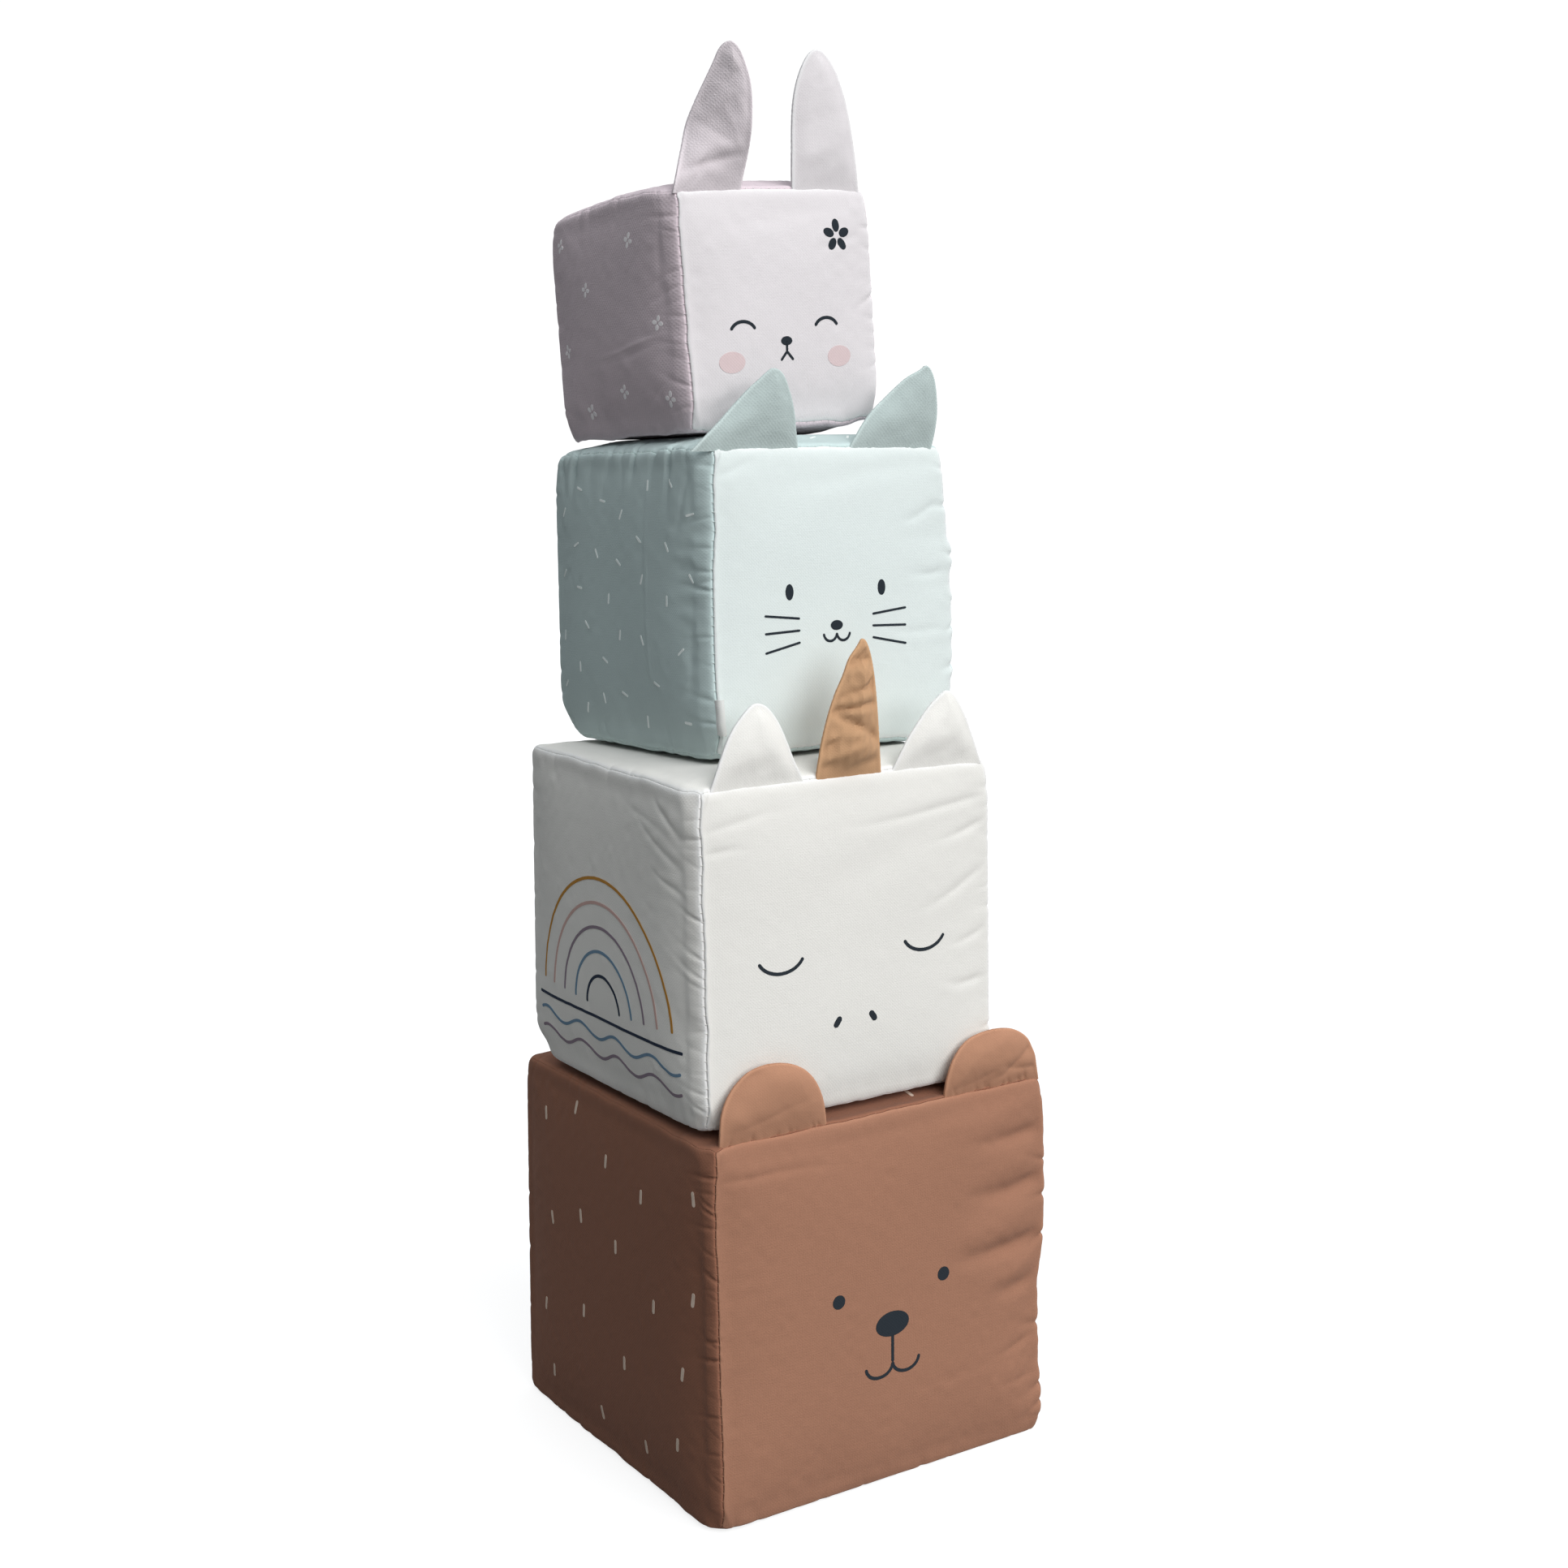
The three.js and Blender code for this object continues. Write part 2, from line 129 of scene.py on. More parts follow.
# Gathers along a seam: pitch and depth, then how far they run into the first face and the second
PLAIN_GATHER = (9, 0.3, 5, 5)
GATHERS = {
    ("bear", "front", "left"): (3.6, 1.1, 1.0, 4.5),
    ("bear", "front", "right"): (9, 1.1, 5, 6),
    ("bear", "front", "top"): (14, 0.12, 3, 2),
    ("bear", "left", "top"): (8, 0.3, 4, 3),
    ("unicorn", "front", "left"): (5, 0.6, 1.0, 6),
    ("unicorn", "front", "right"): (8, 0.8, 4.5, 5),
    ("unicorn", "front", "top"): (13, 0.12, 3, 2),
    ("unicorn", "left", "top"): (10, 0.4, 6, 3),
    ("cat", "front", "left"): (5, 0.65, 1.2, 6),
    ("cat", "front", "right"): (7.5, 0.9, 3.5, 5),
    ("cat", "front", "top"): (12, 0.2, 4, 2),
    ("cat", "left", "top"): (10, 2.6, 9, 6),
    ("bunny", "front", "left"): (4.5, 0.5, 1.2, 7),
    ("bunny", "front", "right"): (7, 0.6, 3.5, 5),
    ("bunny", "front", "top"): (12, 0.15, 3, 2),
    ("bunny", "left", "top"): (7, 0.4, 8, 3),
}

# Seams held straight by their stitches: the share of the gathers' depth that is missing at the seam
HELD_SEAMS = {("front", "left"): 0.7, ("front", "top"): 0.5}
HELD_REACH = 1.2

# Panels pulled tighter than the others: the share of the plain unevenness that they show
TAUT = {("unicorn", "front"): 0.35, ("cat", "front"): 0.35, ("bunny", "front"): 0.7}

# How far a corner is pushed in, where it differs from the plain corner
PLAIN_CORNER = 1.0
CORNER_REACH = 8
SOFT_CORNERS = {
    ("bear", (-1, 1, -1)): 1.0,
    ("bear", (1, -1, -1)): 0.2,
    ("unicorn", (-1, 1, -1)): 4.0,
    ("unicorn", (-1, 1, 1)): 0.1,
    ("cat", (-1, 1, -1)): 3.0,
    ("cat", (-1, 1, 1)): 1.6,
    ("bunny", (-1, 1, -1)): 0.6,
    ("bunny", (-1, 1, 1)): 1.8,
}

# A corner also follows the rolls that reach it, which are those with more than this half length
CORNER_ROUND, ROLLED_REACH = 2.9, 3.0
WHOLE_SEAM = 100

# How far the corners of a block lie from those of an even box, for foam isn't cut or filled evenly
SLACK = {
    "bear": {
        (-1, 1, 1): (-0.4, 0.4, 0), (-1, 1, -1): (-3.2, 3.2, -1.0),
        (1, -1, 1): (1.2, 0, 0), (1, -1, -1): (0.5, 0, -1.5), (-1, -1, -1): (-0.4, 0, 0),
    },
    "unicorn": {(-1, 1, 1): (-0.6, 0.8, 3.4), (-1, 1, -1): (-3.0, 3.0, 0)},
    "cat": {(-1, 1, 1): (-1.4, 1.6, 0), (-1, 1, -1): (-2.4, 2.4, 0), (1, -1, -1): (0.6, 0, 0)},
    "bunny": {(-1, 1, 1): (-1.2, 1.2, 0), (-1, 1, -1): (-2.4, 2.0, -1.2), (1, -1, 1): (1, 0, 0)},
}

# Seams that roll over an edge: the faces, the middle and half length along the edge, how far the seam
# moves, how far from the seam each face follows it, and how uneven it is
ROLLS = {
    "bear": [
        (("front", "left"), 0, 120, (1.8, -0.7, 0), 2.4, 3.6, 0.12),
        (("front", "top"), 0, 120, (0, 0.5, 0.8), 3, 2.4, 0.3),
        (("front", "right"), 28, 30, (1.0, 0, 0), 16, 16, 0.3),
        (("front", "right"), -24, 26, (-1.6, 0, 0), 14, 14, 0.3),
        (("front", "bottom"), 0, 120, (0, 1.2, -1.0), 5, 4, 0.2),
        (("left", "bottom"), 0, 120, (-0.5, 0, -1.0), 5, 4, 0.2),
        (("right", "bottom"), 0, 120, (-1.0, 0, -1.0), 5, 4, 0.2),
        (("left", "top"), 0, 120, (0, 0, 0.3), 3, 3, 0.5),
    ],
    "unicorn": [
        (("front", "left"), 0, 120, (2.4, -0.8, 0), 2.6, 4.6, 0.12),
        (("front", "top"), 0, 120, (0, 0.5, 0.8), 3, 2.4, 0.3),
        (("front", "bottom"), 0, 120, (0, 1.6, -1.6), 6, 5, 0.2),
        (("left", "bottom"), 0, 120, (1.6, 0, -1.6), 6, 5, 0.2),
        (("left", "top"), 0, 120, (-0.2, 0, 0.5), 3, 3, 0.5),
    ],
    "cat": [
        (("front", "left"), 0, 120, (2.8, -0.9, 0), 2.8, 5.0, 0.15),
        (("front", "left"), -8, 30, (-1.4, 0.2, 0), 9, 12, 0.3),
        (("front", "right"), -14, 40, (2.6, -0.4, 0), 18, 18, 0.3),
        (("front", "top"), 0, 120, (0, 0.5, 0.8), 3, 2.4, 0.3),
        (("front", "bottom"), 0, 120, (0, 1.8, -2.4), 7, 5, 0.2),
        (("left", "bottom"), 0, 120, (1.8, 0, -2.4), 7, 5, 0.2),
        (("left", "top"), 0, 120, (-0.2, 0, 0.5), 3, 3, 0.5),
    ],
    "bunny": [
        (("front", "left"), 0, 120, (1.8, -0.7, 0), 2.6, 4.2, 0.12),
        (("front", "top"), 0, 120, (0, 0.4, 0.7), 3, 2.4, 0.3),
        (("front", "bottom"), 0, 120, (0, 1.8, -2.4), 7, 5, 0.2),
        (("left", "bottom"), 0, 120, (1.8, 0, -2.4), 7, 5, 0.2),
        (("left", "top"), -10, 26, (-0.2, 0, 1.4), 8, 8, 0.2),
    ],
}

# Beside the front seam the left panel turns over in a flat band, with a crisp bend at its far side
FACETED = ("left", "front")
FACET_BLUNT = 0.07

# Folds of a panel: x and y of the middle, the slant in degrees, half length, half width and depth
FOLDS = {
    ("bear", "front"): [
        (61, 48, -6, 20, 3.2, 1.9), (46, 58, -3, 36, 6, -1.8), (61, 29.5, -2, 17, 3.1, 1.9),
        (54, 38, -4, 22, 5, -1.2), (57, 8, -4, 24, 3.4, 2.2), (52, 18, -4, 26, 6, -1.9),
        (61, -8, -6, 13, 3.0, 1.5), (57, -1, -5, 15, 4, -0.8), (60, -30, 2, 12, 2.6, 1.0),
        (60, -44, -8, 10, 2.2, 0.6), (-48, 55, -7, 22, 2.4, 0.9), (-40, 60, -4, 40, 5, -0.6),
        (30, -34, -6, 24, 3, 0.4), (-40, 30, 20, 30, 8, 0.5), (-20, -50, -4, 40, 8, 0.5),
    ],
    ("unicorn", "front"): [
        (38, 42, 3, 30, 2.2, 0.7), (52, 34, 8, 14, 2.0, 0.8), (48, 15, 18, 16, 2.4, 0.7),
        (54, -4, 8, 11, 2.0, 0.7), (52, -21, -6, 10, 2.0, 0.7), (-44, 45, 4, 16, 2.2, 0.5),
        (-52, 36, -4, 9, 1.8, 0.5), (20, 30, 8, 34, 7, 0.5),
    ],
    ("unicorn", "left"): [
        (40, 36, -32, 14, 2.0, 0.7), (44, 46, -40, 10, 1.6, 0.8), (30, 44, -20, 14, 2.4, 0.4),
        (46, 24, -28, 9, 1.6, 0.6), (36, 10, 84, 30, 5, 0.3),
    ],
    ("cat", "front"): [
        (-36, 44, 12, 14, 2.2, 0.5), (36, -14, -10, 12, 2.4, 0.4), (12, 41, 2, 28, 4, 0.5),
        (40, 28, 14, 10, 2, 0.5), (42, 6, -6, 9, 2, 0.5),
    ],
    ("cat", "left"): [
        (17, 0, 89, 42, 1.1, -0.35), (38, 32, 66, 11, 1.8, 0.6), (41, -20, 82, 14, 1.6, 0.5),
    ],
    ("bunny", "front"): [(26, 20, 4, 9, 2, 0.4), (-24, -30, 8, 10, 2.4, 0.4), (0, 28, 2, 24, 3, 0.3)],
    ("bunny", "left"): [
        (13, -9.6, 5, 17, 1.1, -0.3), (15, -12, 3, 14, 1.8, 0.3), (32, 20, 80, 12, 1.2, 0.4),
        (-18, 22, 60, 10, 1.6, 0.2), (24, -26, 20, 8, 1.6, 0.3),
    ],
}

# No fold reaches deeper than this, so that the cloth stays clear of the foam
FOLD_LIMIT = 2.2

# The sewn flaps: block, height, half the stuffed thickness, how far each turns to the left above its
# seam, where the tip is, and its left and right sides at fixed shares of the height
FLAP_SHARES = np.array([0, 0.15, 0.3, 0.45, 0.6, 0.74, 0.86, 0.94])
FLAPS = {
    "bear_left_ear": (
        "bear", 25.4, 1.5, 3, -0.6,
        (-20.4, -20.0, -19.7, -19.2, -17.8, -15.5, -12.2, -8.9),
        (21.8, 21.5, 21.1, 20.2, 18.6, 16.2, 12.8, 8.7),
    ),
    "bear_right_ear": (
        "bear", 21.6, 1.5, 0, 0.0,
        (-22.5, -21.9, -21.2, -20.1, -18.6, -16.3, -13.4, -9.8),
        (20.3, 19.8, 19.3, 18.7, 17.2, 15.4, 12.3, 8.8),
    ),
    "unicorn_left_ear": (
        "unicorn", 26.7, 1.7, 0, 0.7,
        (-17.9, -16.2, -14.5, -12.7, -10.7, -8.2, -5.2, -2.9), (18.2, 16.3, 14.3, 12.6, 10.8, 8.9, 6.7, 4.6),
    ),
    "unicorn_right_ear": (
        "unicorn", 25.4, 1.7, 0, 3.8,
        (-19.9, -17.5, -15.0, -12.2, -8.9, -5.6, -2.3, 0.6), (18.3, 16.9, 15.5, 13.9, 12.3, 10.4, 8.6, 7.0),
    ),
    "unicorn_horn": (
        "unicorn", 45.2, 4.4, 0, 6.2,
        (-13.5, -12.1, -10.5, -8.3, -5.5, -2.0, 0.6, 3.7), (12.7, 12.4, 12.1, 11.7, 11.2, 10.5, 9.5, 8.4),
    ),
    "cat_left_ear": (
        "cat", 25.4, 1.7, 8, 9.0,
        (-23.8, -19.1, -14.3, -9.9, -5.5, -1.2, 3.1, 5.9), (18.3, 17.8, 17.4, 17.0, 16.2, 15.0, 13.8, 12.4),
    ),
    "cat_right_ear": (
        "cat", 27.2, 1.7, 8, 12.6,
        (-21.4, -18.1, -14.9, -11.0, -5.7, -0.5, 4.6, 9.6), (14.4, 15.8, 16.8, 17.3, 17.2, 16.8, 16.0, 14.9),
    ),
    "bunny_left_ear": (
        "bunny", 46.0, 1.6, 29, 11.9,
        (-14.5, -11.9, -9.3, -6.7, -2.7, 1.6, 5.3, 7.6), (11.6, 14.0, 16.2, 17.7, 18.5, 18.4, 17.0, 15.5),
    ),
    "bunny_right_ear": (
        "bunny", 44.6, 1.7, 2, 0.0,
        (-14.3, -13.7, -13.0, -12.3, -11.3, -9.5, -6.9, -4.4), (13.5, 13.3, 12.8, 12.0, 10.9, 9.2, 7.0, 4.5),
    ),
}
FLAP_FOLDS = {
    "bear_left_ear": [
        (0, 15, 0, 24, 8, -1.1), (0, 8, 6, 15, 2.4, 0.4), (6, 14, 20, 12, 4, 0.2),
    ],
    "bear_right_ear": [
        (-4, 13, 0, 22, 7, -1.0), (9, 8, 24, 11, 2.6, 1.0), (13, 5.5, -20, 8, 2, 0.6),
        (-6, 5, 6, 10, 2.4, 0.4),
    ],
    "unicorn_left_ear": [(2, 6, 6, 12, 3, 0.25)],
    "unicorn_right_ear": [(4, 7, 14, 12, 3, 0.3)],
    "unicorn_horn": [
        (6, 38, -8, 9, 2.6, 2.6), (4, 28.6, 8, 12, 2.4, 2.4), (0, 22.6, -2, 10, 1.8, 2.8),
        (9.2, 30, 86, 9, 0.9, 1.0), (2, 16.5, -38, 14, 2.6, 2.4), (3, 7.5, -4, 14, 3.0, -1.0),
        (-6, 12, 20, 7, 1.4, 0.8), (8, 33, 30, 5, 1.6, -0.9),
    ],
    "cat_left_ear": [(4, 7, 12, 12, 3, 0.25)],
    "cat_right_ear": [(6, 8, 18, 12, 3, 0.25)],
    "bunny_left_ear": [
        (0, 8, 6, 14, 1.8, 1.2), (2, 12, -8, 13, 3.0, -0.6), (-5, 4, 44, 8, 1.8, 0.7),
        (3, 22, 32, 12, 2, 0.4), (2, 18, -38, 9, 1.8, 0.4), (6, 31, 28, 10, 1.8, 0.45),
        (6, 38, -30, 7, 1.6, 0.35),
    ],
    "bunny_right_ear": [(0, 8, 4, 11, 3, 0.25)],
}
CRUMPLED = {"unicorn_horn": (0.8, 13), "bunny_left_ear": (0.35, 18), "bear_right_ear": (0.2, 16)}

# The tucks at the foot of a flap, where it is sewn in: pitch, half width and how far up they run
FLAP_TUCKS = (4.0, 0.6, 2.4)
TUCK_DEPTHS = {"bear": 0.6, "cat": 0.2}
PLAIN_TUCK = 0.08
FLAP_ROOT = -1.3

# How far behind its seam's line a flap comes out, and over what height it leans forward again
PLAIN_SET_IN = (1.7, 9)
SET_IN = {"bear": (2.6, 6.5)}
FLAP_CLOTH = 0.5


# Smooth helpers

def smooth(value, low, high):
    share = np.clip((value - low) / (high - low), 0, 1)
    return share * share * (3 - 2 * share)


def dice(*words):
    """A random source of its own for each named thing, the same in every run."""
    return np.random.default_rng(zlib.crc32(" ".join(words).encode()))


def waves(x, y, source, length, count=14):
    """Gentle unevenness of about one millimetre either way, from waves in random directions."""
    height = np.zeros_like(x)
    for _ in range(count):
        angle, phase = source.uniform(0, 2 * math.pi, 2)
        number = 2 * math.pi / (length * source.uniform(0.6, 1.8))
        height += np.sin(number * (x * math.cos(angle) + y * math.sin(angle)) + phase)
    return height / math.sqrt(count)


def smooth_line(place, knots, values):
    """A smooth curve through values at rising knots, read at a place."""
    slopes = np.gradient(values, knots, axis=0)
    after = np.clip(np.searchsorted(knots, place), 1, len(knots) - 1)
    before = after - 1
    step = knots[after] - knots[before]
    share = (place - knots[before]) / step
    share, step = (part.reshape(-1, *[1] * (values.ndim - 1)) for part in (share, step))
    start, end = values[before], values[after]
    swing = start * (1 + 2 * share) * (1 - share) ** 2 + end * (3 - 2 * share) * share**2
    lean = slopes[before] * share * (1 - share) ** 2 - slopes[after] * (1 - share) * share**2
    return swing + step * lean


CREASE_SHARPNESS, CREASE_ROUND = 1.6, 0.3


def crease(off):
    """A valley with a crisp bottom and soft wide shoulders."""
    return np.exp(-CREASE_SHARPNESS * (np.sqrt(off * off + CREASE_ROUND**2) - CREASE_ROUND))


def crumpled(x, y, source, length, count=5):
    """Flat facets with crisp creases between them, about one millimetre deep."""
    large, small = (abs(waves(x, y, source, span, count)) for span in (length, length / 2))
    return 0.8 - large - 0.35 * small


# The shape of a fold: how far it sways and how often, how suddenly it ends, and the ridges beside it, one
# of them wider than the other. Folds narrower than the last value have a crisp valley.
FOLD_SWAY, FOLD_TURNS, FOLD_END = 0.6, 1.7, 2.4
FOLD_RIDGE, FOLD_RIDGE_REACH, FOLD_RIDGE_WIDER = 0.35, 2.2, 1.5
CRISP_UNDER = 3


def fold_height(x, y, folds):
    """The depth of a list of folds. A fold fades at its ends and is a little wider on one side."""
    height = np.zeros_like(x)
    for middle_x, middle_y, slant, length, width, depth in folds:
        angle = math.radians(slant)
        along = (x - middle_x) * math.cos(angle) + (y - middle_y) * math.sin(angle)
        beside = (y - middle_y) * math.cos(angle) - (x - middle_x) * math.sin(angle)
        beside = beside - FOLD_SWAY * width * np.sin(along / length * FOLD_TURNS)
        wide = np.where(beside > 0, width * FOLD_RIDGE_WIDER, width)
        fade = np.exp(-np.abs(along / length) ** FOLD_END)
        valley = crease(beside / width) if width < CRISP_UNDER else np.exp(-((beside / width) ** 2))
        ridges = FOLD_RIDGE * np.exp(-((beside / wide / FOLD_RIDGE_REACH) ** 2))
        height -= depth * fade * (valley - ridges)
    return height


def pressed(height, limit, softness=0.25):
    """A height held under a limit, with a soft shoulder."""
    return limit - softness * np.logaddexp(0, (limit - height) / softness)


# The blocks' places

def turned(turn, lean):
    turn, lean = math.radians(turn), math.radians(lean)
    about_z = np.array([[math.cos(turn), -math.sin(turn), 0], [math.sin(turn), math.cos(turn), 0], [0, 0, 1]])
    about_y = np.array([[math.cos(lean), 0, math.sin(lean)], [0, 1, 0], [-math.sin(lean), 0, math.cos(lean)]])
    return about_z @ about_y


def placed_blocks():
    blocks = {}
    front, foot = -BLOCKS["bear"]["width"] / 2, 0
    for name, sizes in BLOCKS.items():
        block = SimpleNamespace(name=name, body=f"{name}_block", **sizes)
        block.floor = foot
        front += block.setback
        foot += block.bottom_seat
        block.foot = np.array([block.shift, front + block.width / 2, foot])
        block.axes = turned(block.turn, block.lean)
        block.size = np.array([block.width, block.width, block.height])
        foot += block.height + block.top_seat
        block.ceiling = foot
        foot += STACK_GAP
        blocks[name] = block
    return blocks


def to_frame(block, points):
    """Points of a block, measured from the middle of its box, in the shared frame."""
    share = 2 * points / block.size
    for corner, offset in SLACK[block.name].items():
        near = np.clip((1 + share * np.array(corner)) / 2, 0, 1).prod(-1)
        points = points + near[..., None] * np.array(offset)
    return block.foot + (points + np.array([0, 0, block.height / 2])) @ block.axes.T


def way_out(block, face):
    """The direction out of one face of a block, in the shared frame."""
    return np.array(FACES[face][2]) @ block.axes.T


# The cover's panels

def line_places(size, radius=EDGE_RADIUS, seam_lines=SEAM_LINES, step=LINE_STEP):
    """Distances along one side of a panel, from its middle to its seams over the rounded edges."""
    half = size / 2 - radius + radius * QUARTER
    inside = half - seam_lines[-1]
    count = max(1, round(inside / step))
    right = np.concatenate([np.linspace(0, inside, count + 1), half - seam_lines[-2::-1]])
    return np.concatenate([-right[:0:-1], right])


def bent(places, size, radius):
    """Where a panel's lines turn over the rounded edge: the middle of the turn and its tangent."""
    flat = size / 2 - radius
    beyond = np.clip(np.abs(places) - flat, 0, None)
    return np.clip(places, -flat, flat), np.sign(places) * np.tan(beyond / radius)


def face_grid(face, size, radius, x, y):
    """A face of a rounded box as a grid of points, with the way out of the box at each."""
    across, up, out = (np.array(axis) for axis in FACES[face])
    middle_x, turn_x = bent(x, abs(across) @ size, radius)
    middle_y, turn_y = bent(y, abs(up) @ size, radius)
    level = np.ones((len(y), len(x), 1)) * out
    way = turn_x[None, :, None] * across + turn_y[:, None, None] * up + level
    way = way / np.linalg.norm(way, axis=2, keepdims=True)
    middle = middle_x[None, :, None] * across + middle_y[:, None, None] * up
    return middle + (abs(out) @ size / 2 - radius) * out + radius * way, way


def crown_height(block, face, x, y):
    """How far a face swells over its filling, from shares of the way to its seams."""
    crowns = {"top": block.top_crown, "bottom": block.bottom_crown}
    fall = FULL_CROWNS.get((block.name, face), CROWN_FALL)
    return crowns.get(face, block.side_crown) * (1 - abs(x) ** fall) * (1 - abs(y) ** fall)


def seated(block, face, points, depth=0.0):
    """Points in the shared frame, pressed flat where the block meets what is over or under it."""
    if face == "top":
        points[..., 2] = pressed(points[..., 2], block.ceiling - depth)
    if face == "bottom":
        points[..., 2] = -pressed(-points[..., 2], -block.floor - depth)
    return points


def seam_pair(first, second):
    """Two faces in the order in which the tables name their seam."""
    return tuple(sorted((first, second), key=list(FACES).index))


def seam_gathers(block, pair, half):
    """The small tucks along one seam. Both panels read the same list, so they meet."""
    pitch, depth, *reaches = GATHERS.get((block.name, *pair), PLAIN_GATHER)
    source = dice(block.name, *pair)
    tucks, place = [], -half + pitch * source.uniform(0.4, 1)
    while place < half:
        tucks.append((
            place,
            depth * (0.1 + 1.6 * source.uniform() ** 2),
            max(0.7, pitch * source.uniform(0.08, 0.22)),
            reaches[0] * source.uniform(0.5, 1.4),
            source.uniform(-0.5, 0.5),
            reaches[1] * source.uniform(0.5, 1.4),
            source.uniform(-0.4, 1.0),
        ))
        place += pitch * source.uniform(0.45, 1.6)
    return tucks


def gather_height(block, face, side, along, seam, half):
    """The tucks of one seam, over a panel: along is the place along the seam, seam the distance from it."""
    pair = seam_pair(face, side)
    held = 1 - HELD_SEAMS.get(pair, 0) * np.exp(-((seam / HELD_REACH) ** 2))
    height = np.zeros_like(seam)
    for place, depth, width, *runs in seam_gathers(block, pair, half):
        reach, slant = runs[2:] if face == pair[1] else runs[:2]
        off = (along - place - slant * seam) / (width * (1 + seam / 9))
        fall = held * np.exp(-((seam / reach) ** 1.3))
        height -= depth * fall * (crease(off) - 0.3 * np.exp(-((off / 2.6) ** 2)))
    return height


def rolled_corner(name, corner):
    """Where the rolled seams that end at a corner take it: the widest of their moves each way."""
    moves = [np.zeros(3)]
    for pair, _, length, way, *_ in ROLLS[name]:
        if length > WHOLE_SEAM and all(np.array(FACES[face][2]) @ corner > 0 for face in pair):
            moves.append(np.array(way))
    moves = np.array(moves)
    return moves[abs(moves).argmax(0), range(3)]


class Panel:
    """One panel of a cover as a grid over its side of the block. Rows run up it and columns across."""

    def __init__(self, block, face):
        self.block, self.face = block, face
        self.across, self.up, _ = (np.array(axis) for axis in FACES[face])
        self.size = abs(self.across) @ block.size, abs(self.up) @ block.size
        self.taut = TAUT.get((block.name, face), 1)
        steps = FINE_STEPS.get(face, (LINE_STEP, LINE_STEP))
        self.x, self.y = (line_places(side, step=step) for side, step in zip(self.size, steps))
        self.base, self.way = face_grid(face, block.size, EDGE_RADIUS, self.x, self.y)
        self.lay_cloth()
        self.bend_normals()

    def unevenness(self, x, y, seam):
        """The folds and the gentle unevenness, held down along the seams."""
        source = dice(self.block.name, self.face, "cloth")
        uneven = self.taut * sum(height * waves(x, y, source, length) for height, length in UNEVEN)
        folds = fold_height(x, y, FOLDS.get((self.block.name, self.face), []))
        inside = 1 - np.exp(-((seam / SEAM_HOLD) ** 2))
        return inside * -pressed(-(uneven + folds), FOLD_LIMIT)

    def lay_cloth(self):
        x, y = np.meshgrid(self.x, self.y)
        half_x, half_y = self.x[-1] + SEAM_LINES[0], self.y[-1] + SEAM_LINES[0]
        from_x, from_y = half_x - abs(x), half_y - abs(y)
        seam = np.minimum(from_x, from_y)
        # The strip along the seams that is painted paler: partly wear, partly a painted highlight on the seam
        # ridges
        self.edge = np.exp(-((seam / WEAR_AND_HIGHLIGHT_WIDTH) ** 2))
        height = crown_height(self.block, self.face, x / half_x, y / half_y) + self.unevenness(x, y, seam)
        height = height + RIDGE * np.exp(-((seam / RIDGE_FALL) ** 2))
        groove, push = np.zeros_like(seam), np.zeros_like(self.base)
        for axis, half, along, from_seam, from_corner in (
            (self.across, half_y, y, half_x - x, from_y), (-self.across, half_y, y, half_x + x, from_y),
            (self.up, half_x, x, half_y - y, from_x), (-self.up, half_x, x, half_y + y, from_x),
        ):
            side = FACE_TOWARDS[tuple(int(part) for part in axis)]
            lengthwise = self.up if axis @ self.up == 0 else self.across
            place = along * lengthwise.sum()
            window = smooth(from_corner, *CORNER_FADE)
            groove = np.maximum(groove, self.groove(side, from_seam))
            height += window * gather_height(self.block, self.face, side, place, from_seam, half)
            push += window[..., None] * self.roll(side, place, from_seam)
        local = self.base + self.way * (height - groove)[..., None] + push + self.corner_push()
        self.points = seated(self.block, self.face, to_frame(self.block, local))

    def groove(self, side, seam):
        """How far the cloth curls in beside one of its seams."""
        pair = seam_pair(self.face, side)
        curl = np.clip(seam / CURL, 0, 1)
        return CURL_DEPTH * SEAM_DEPTHS.get(pair, 1) * (1 - np.sqrt(1 - (1 - curl) ** 2))

    def roll(self, side, place, seam):
        """How far the rolls of one seam push the cloth."""
        push = np.zeros_like(self.base)
        for pair, middle, length, way, first, second, unevenness in ROLLS[self.block.name]:
            if {self.face, side} == set(pair):
                reach = first if self.face == pair[0] else second
                source = dice(self.block.name, *pair)
                ripple = waves(place, 0 * place, source, 22) + 0.5 * waves(place, 0 * place, source, 9)
                uneven = 1 + unevenness * ripple
                fall = np.exp(-((seam / reach) ** 2))
                if (self.face, side) == FACETED:
                    fall = FACET_BLUNT * np.logaddexp(0, (1 - seam / (reach * uneven)) / FACET_BLUNT)
                swell = uneven * np.exp(-(((place - middle) / length) ** 4)) * fall
                push += swell[..., None] * np.array(way)
        return push

    def corner_push(self):
        """How far the cloth is pushed in at the corners, and carried along by the rolls that end there."""
        push = np.zeros_like(self.base)
        for corner in product((-1, 1), repeat=3):
            way = np.array(corner)
            away = np.linalg.norm(self.base - way * self.block.size / 2, axis=2)
            depth = SOFT_CORNERS.get((self.block.name, corner), PLAIN_CORNER)
            push -= (depth * np.exp(-((away / CORNER_REACH) ** 2)))[..., None] * way / math.sqrt(3)
            near = np.exp(-((np.clip(away - CORNER_ROUND, 0, None) / ROLLED_REACH) ** 2))
            push += near[..., None] * rolled_corner(self.block.name, way)
        return push

    def settle(self, x, y, field):
        """Lays the small folds of a coarse grid on the panel, along its normals."""
        field = self.taut * smooth_line(self.y, y, smooth_line(self.x, x, field.T).T)
        self.points = seated(self.block, self.face, self.points + self.normals * field[..., None])
        self.bend_normals()

    def bend_normals(self):
        along = np.gradient(self.points, axis=1)
        upwards = np.gradient(self.points, axis=0)
        normal = np.cross(along, upwards)
        self.normals = normal / np.linalg.norm(normal, axis=2, keepdims=True)

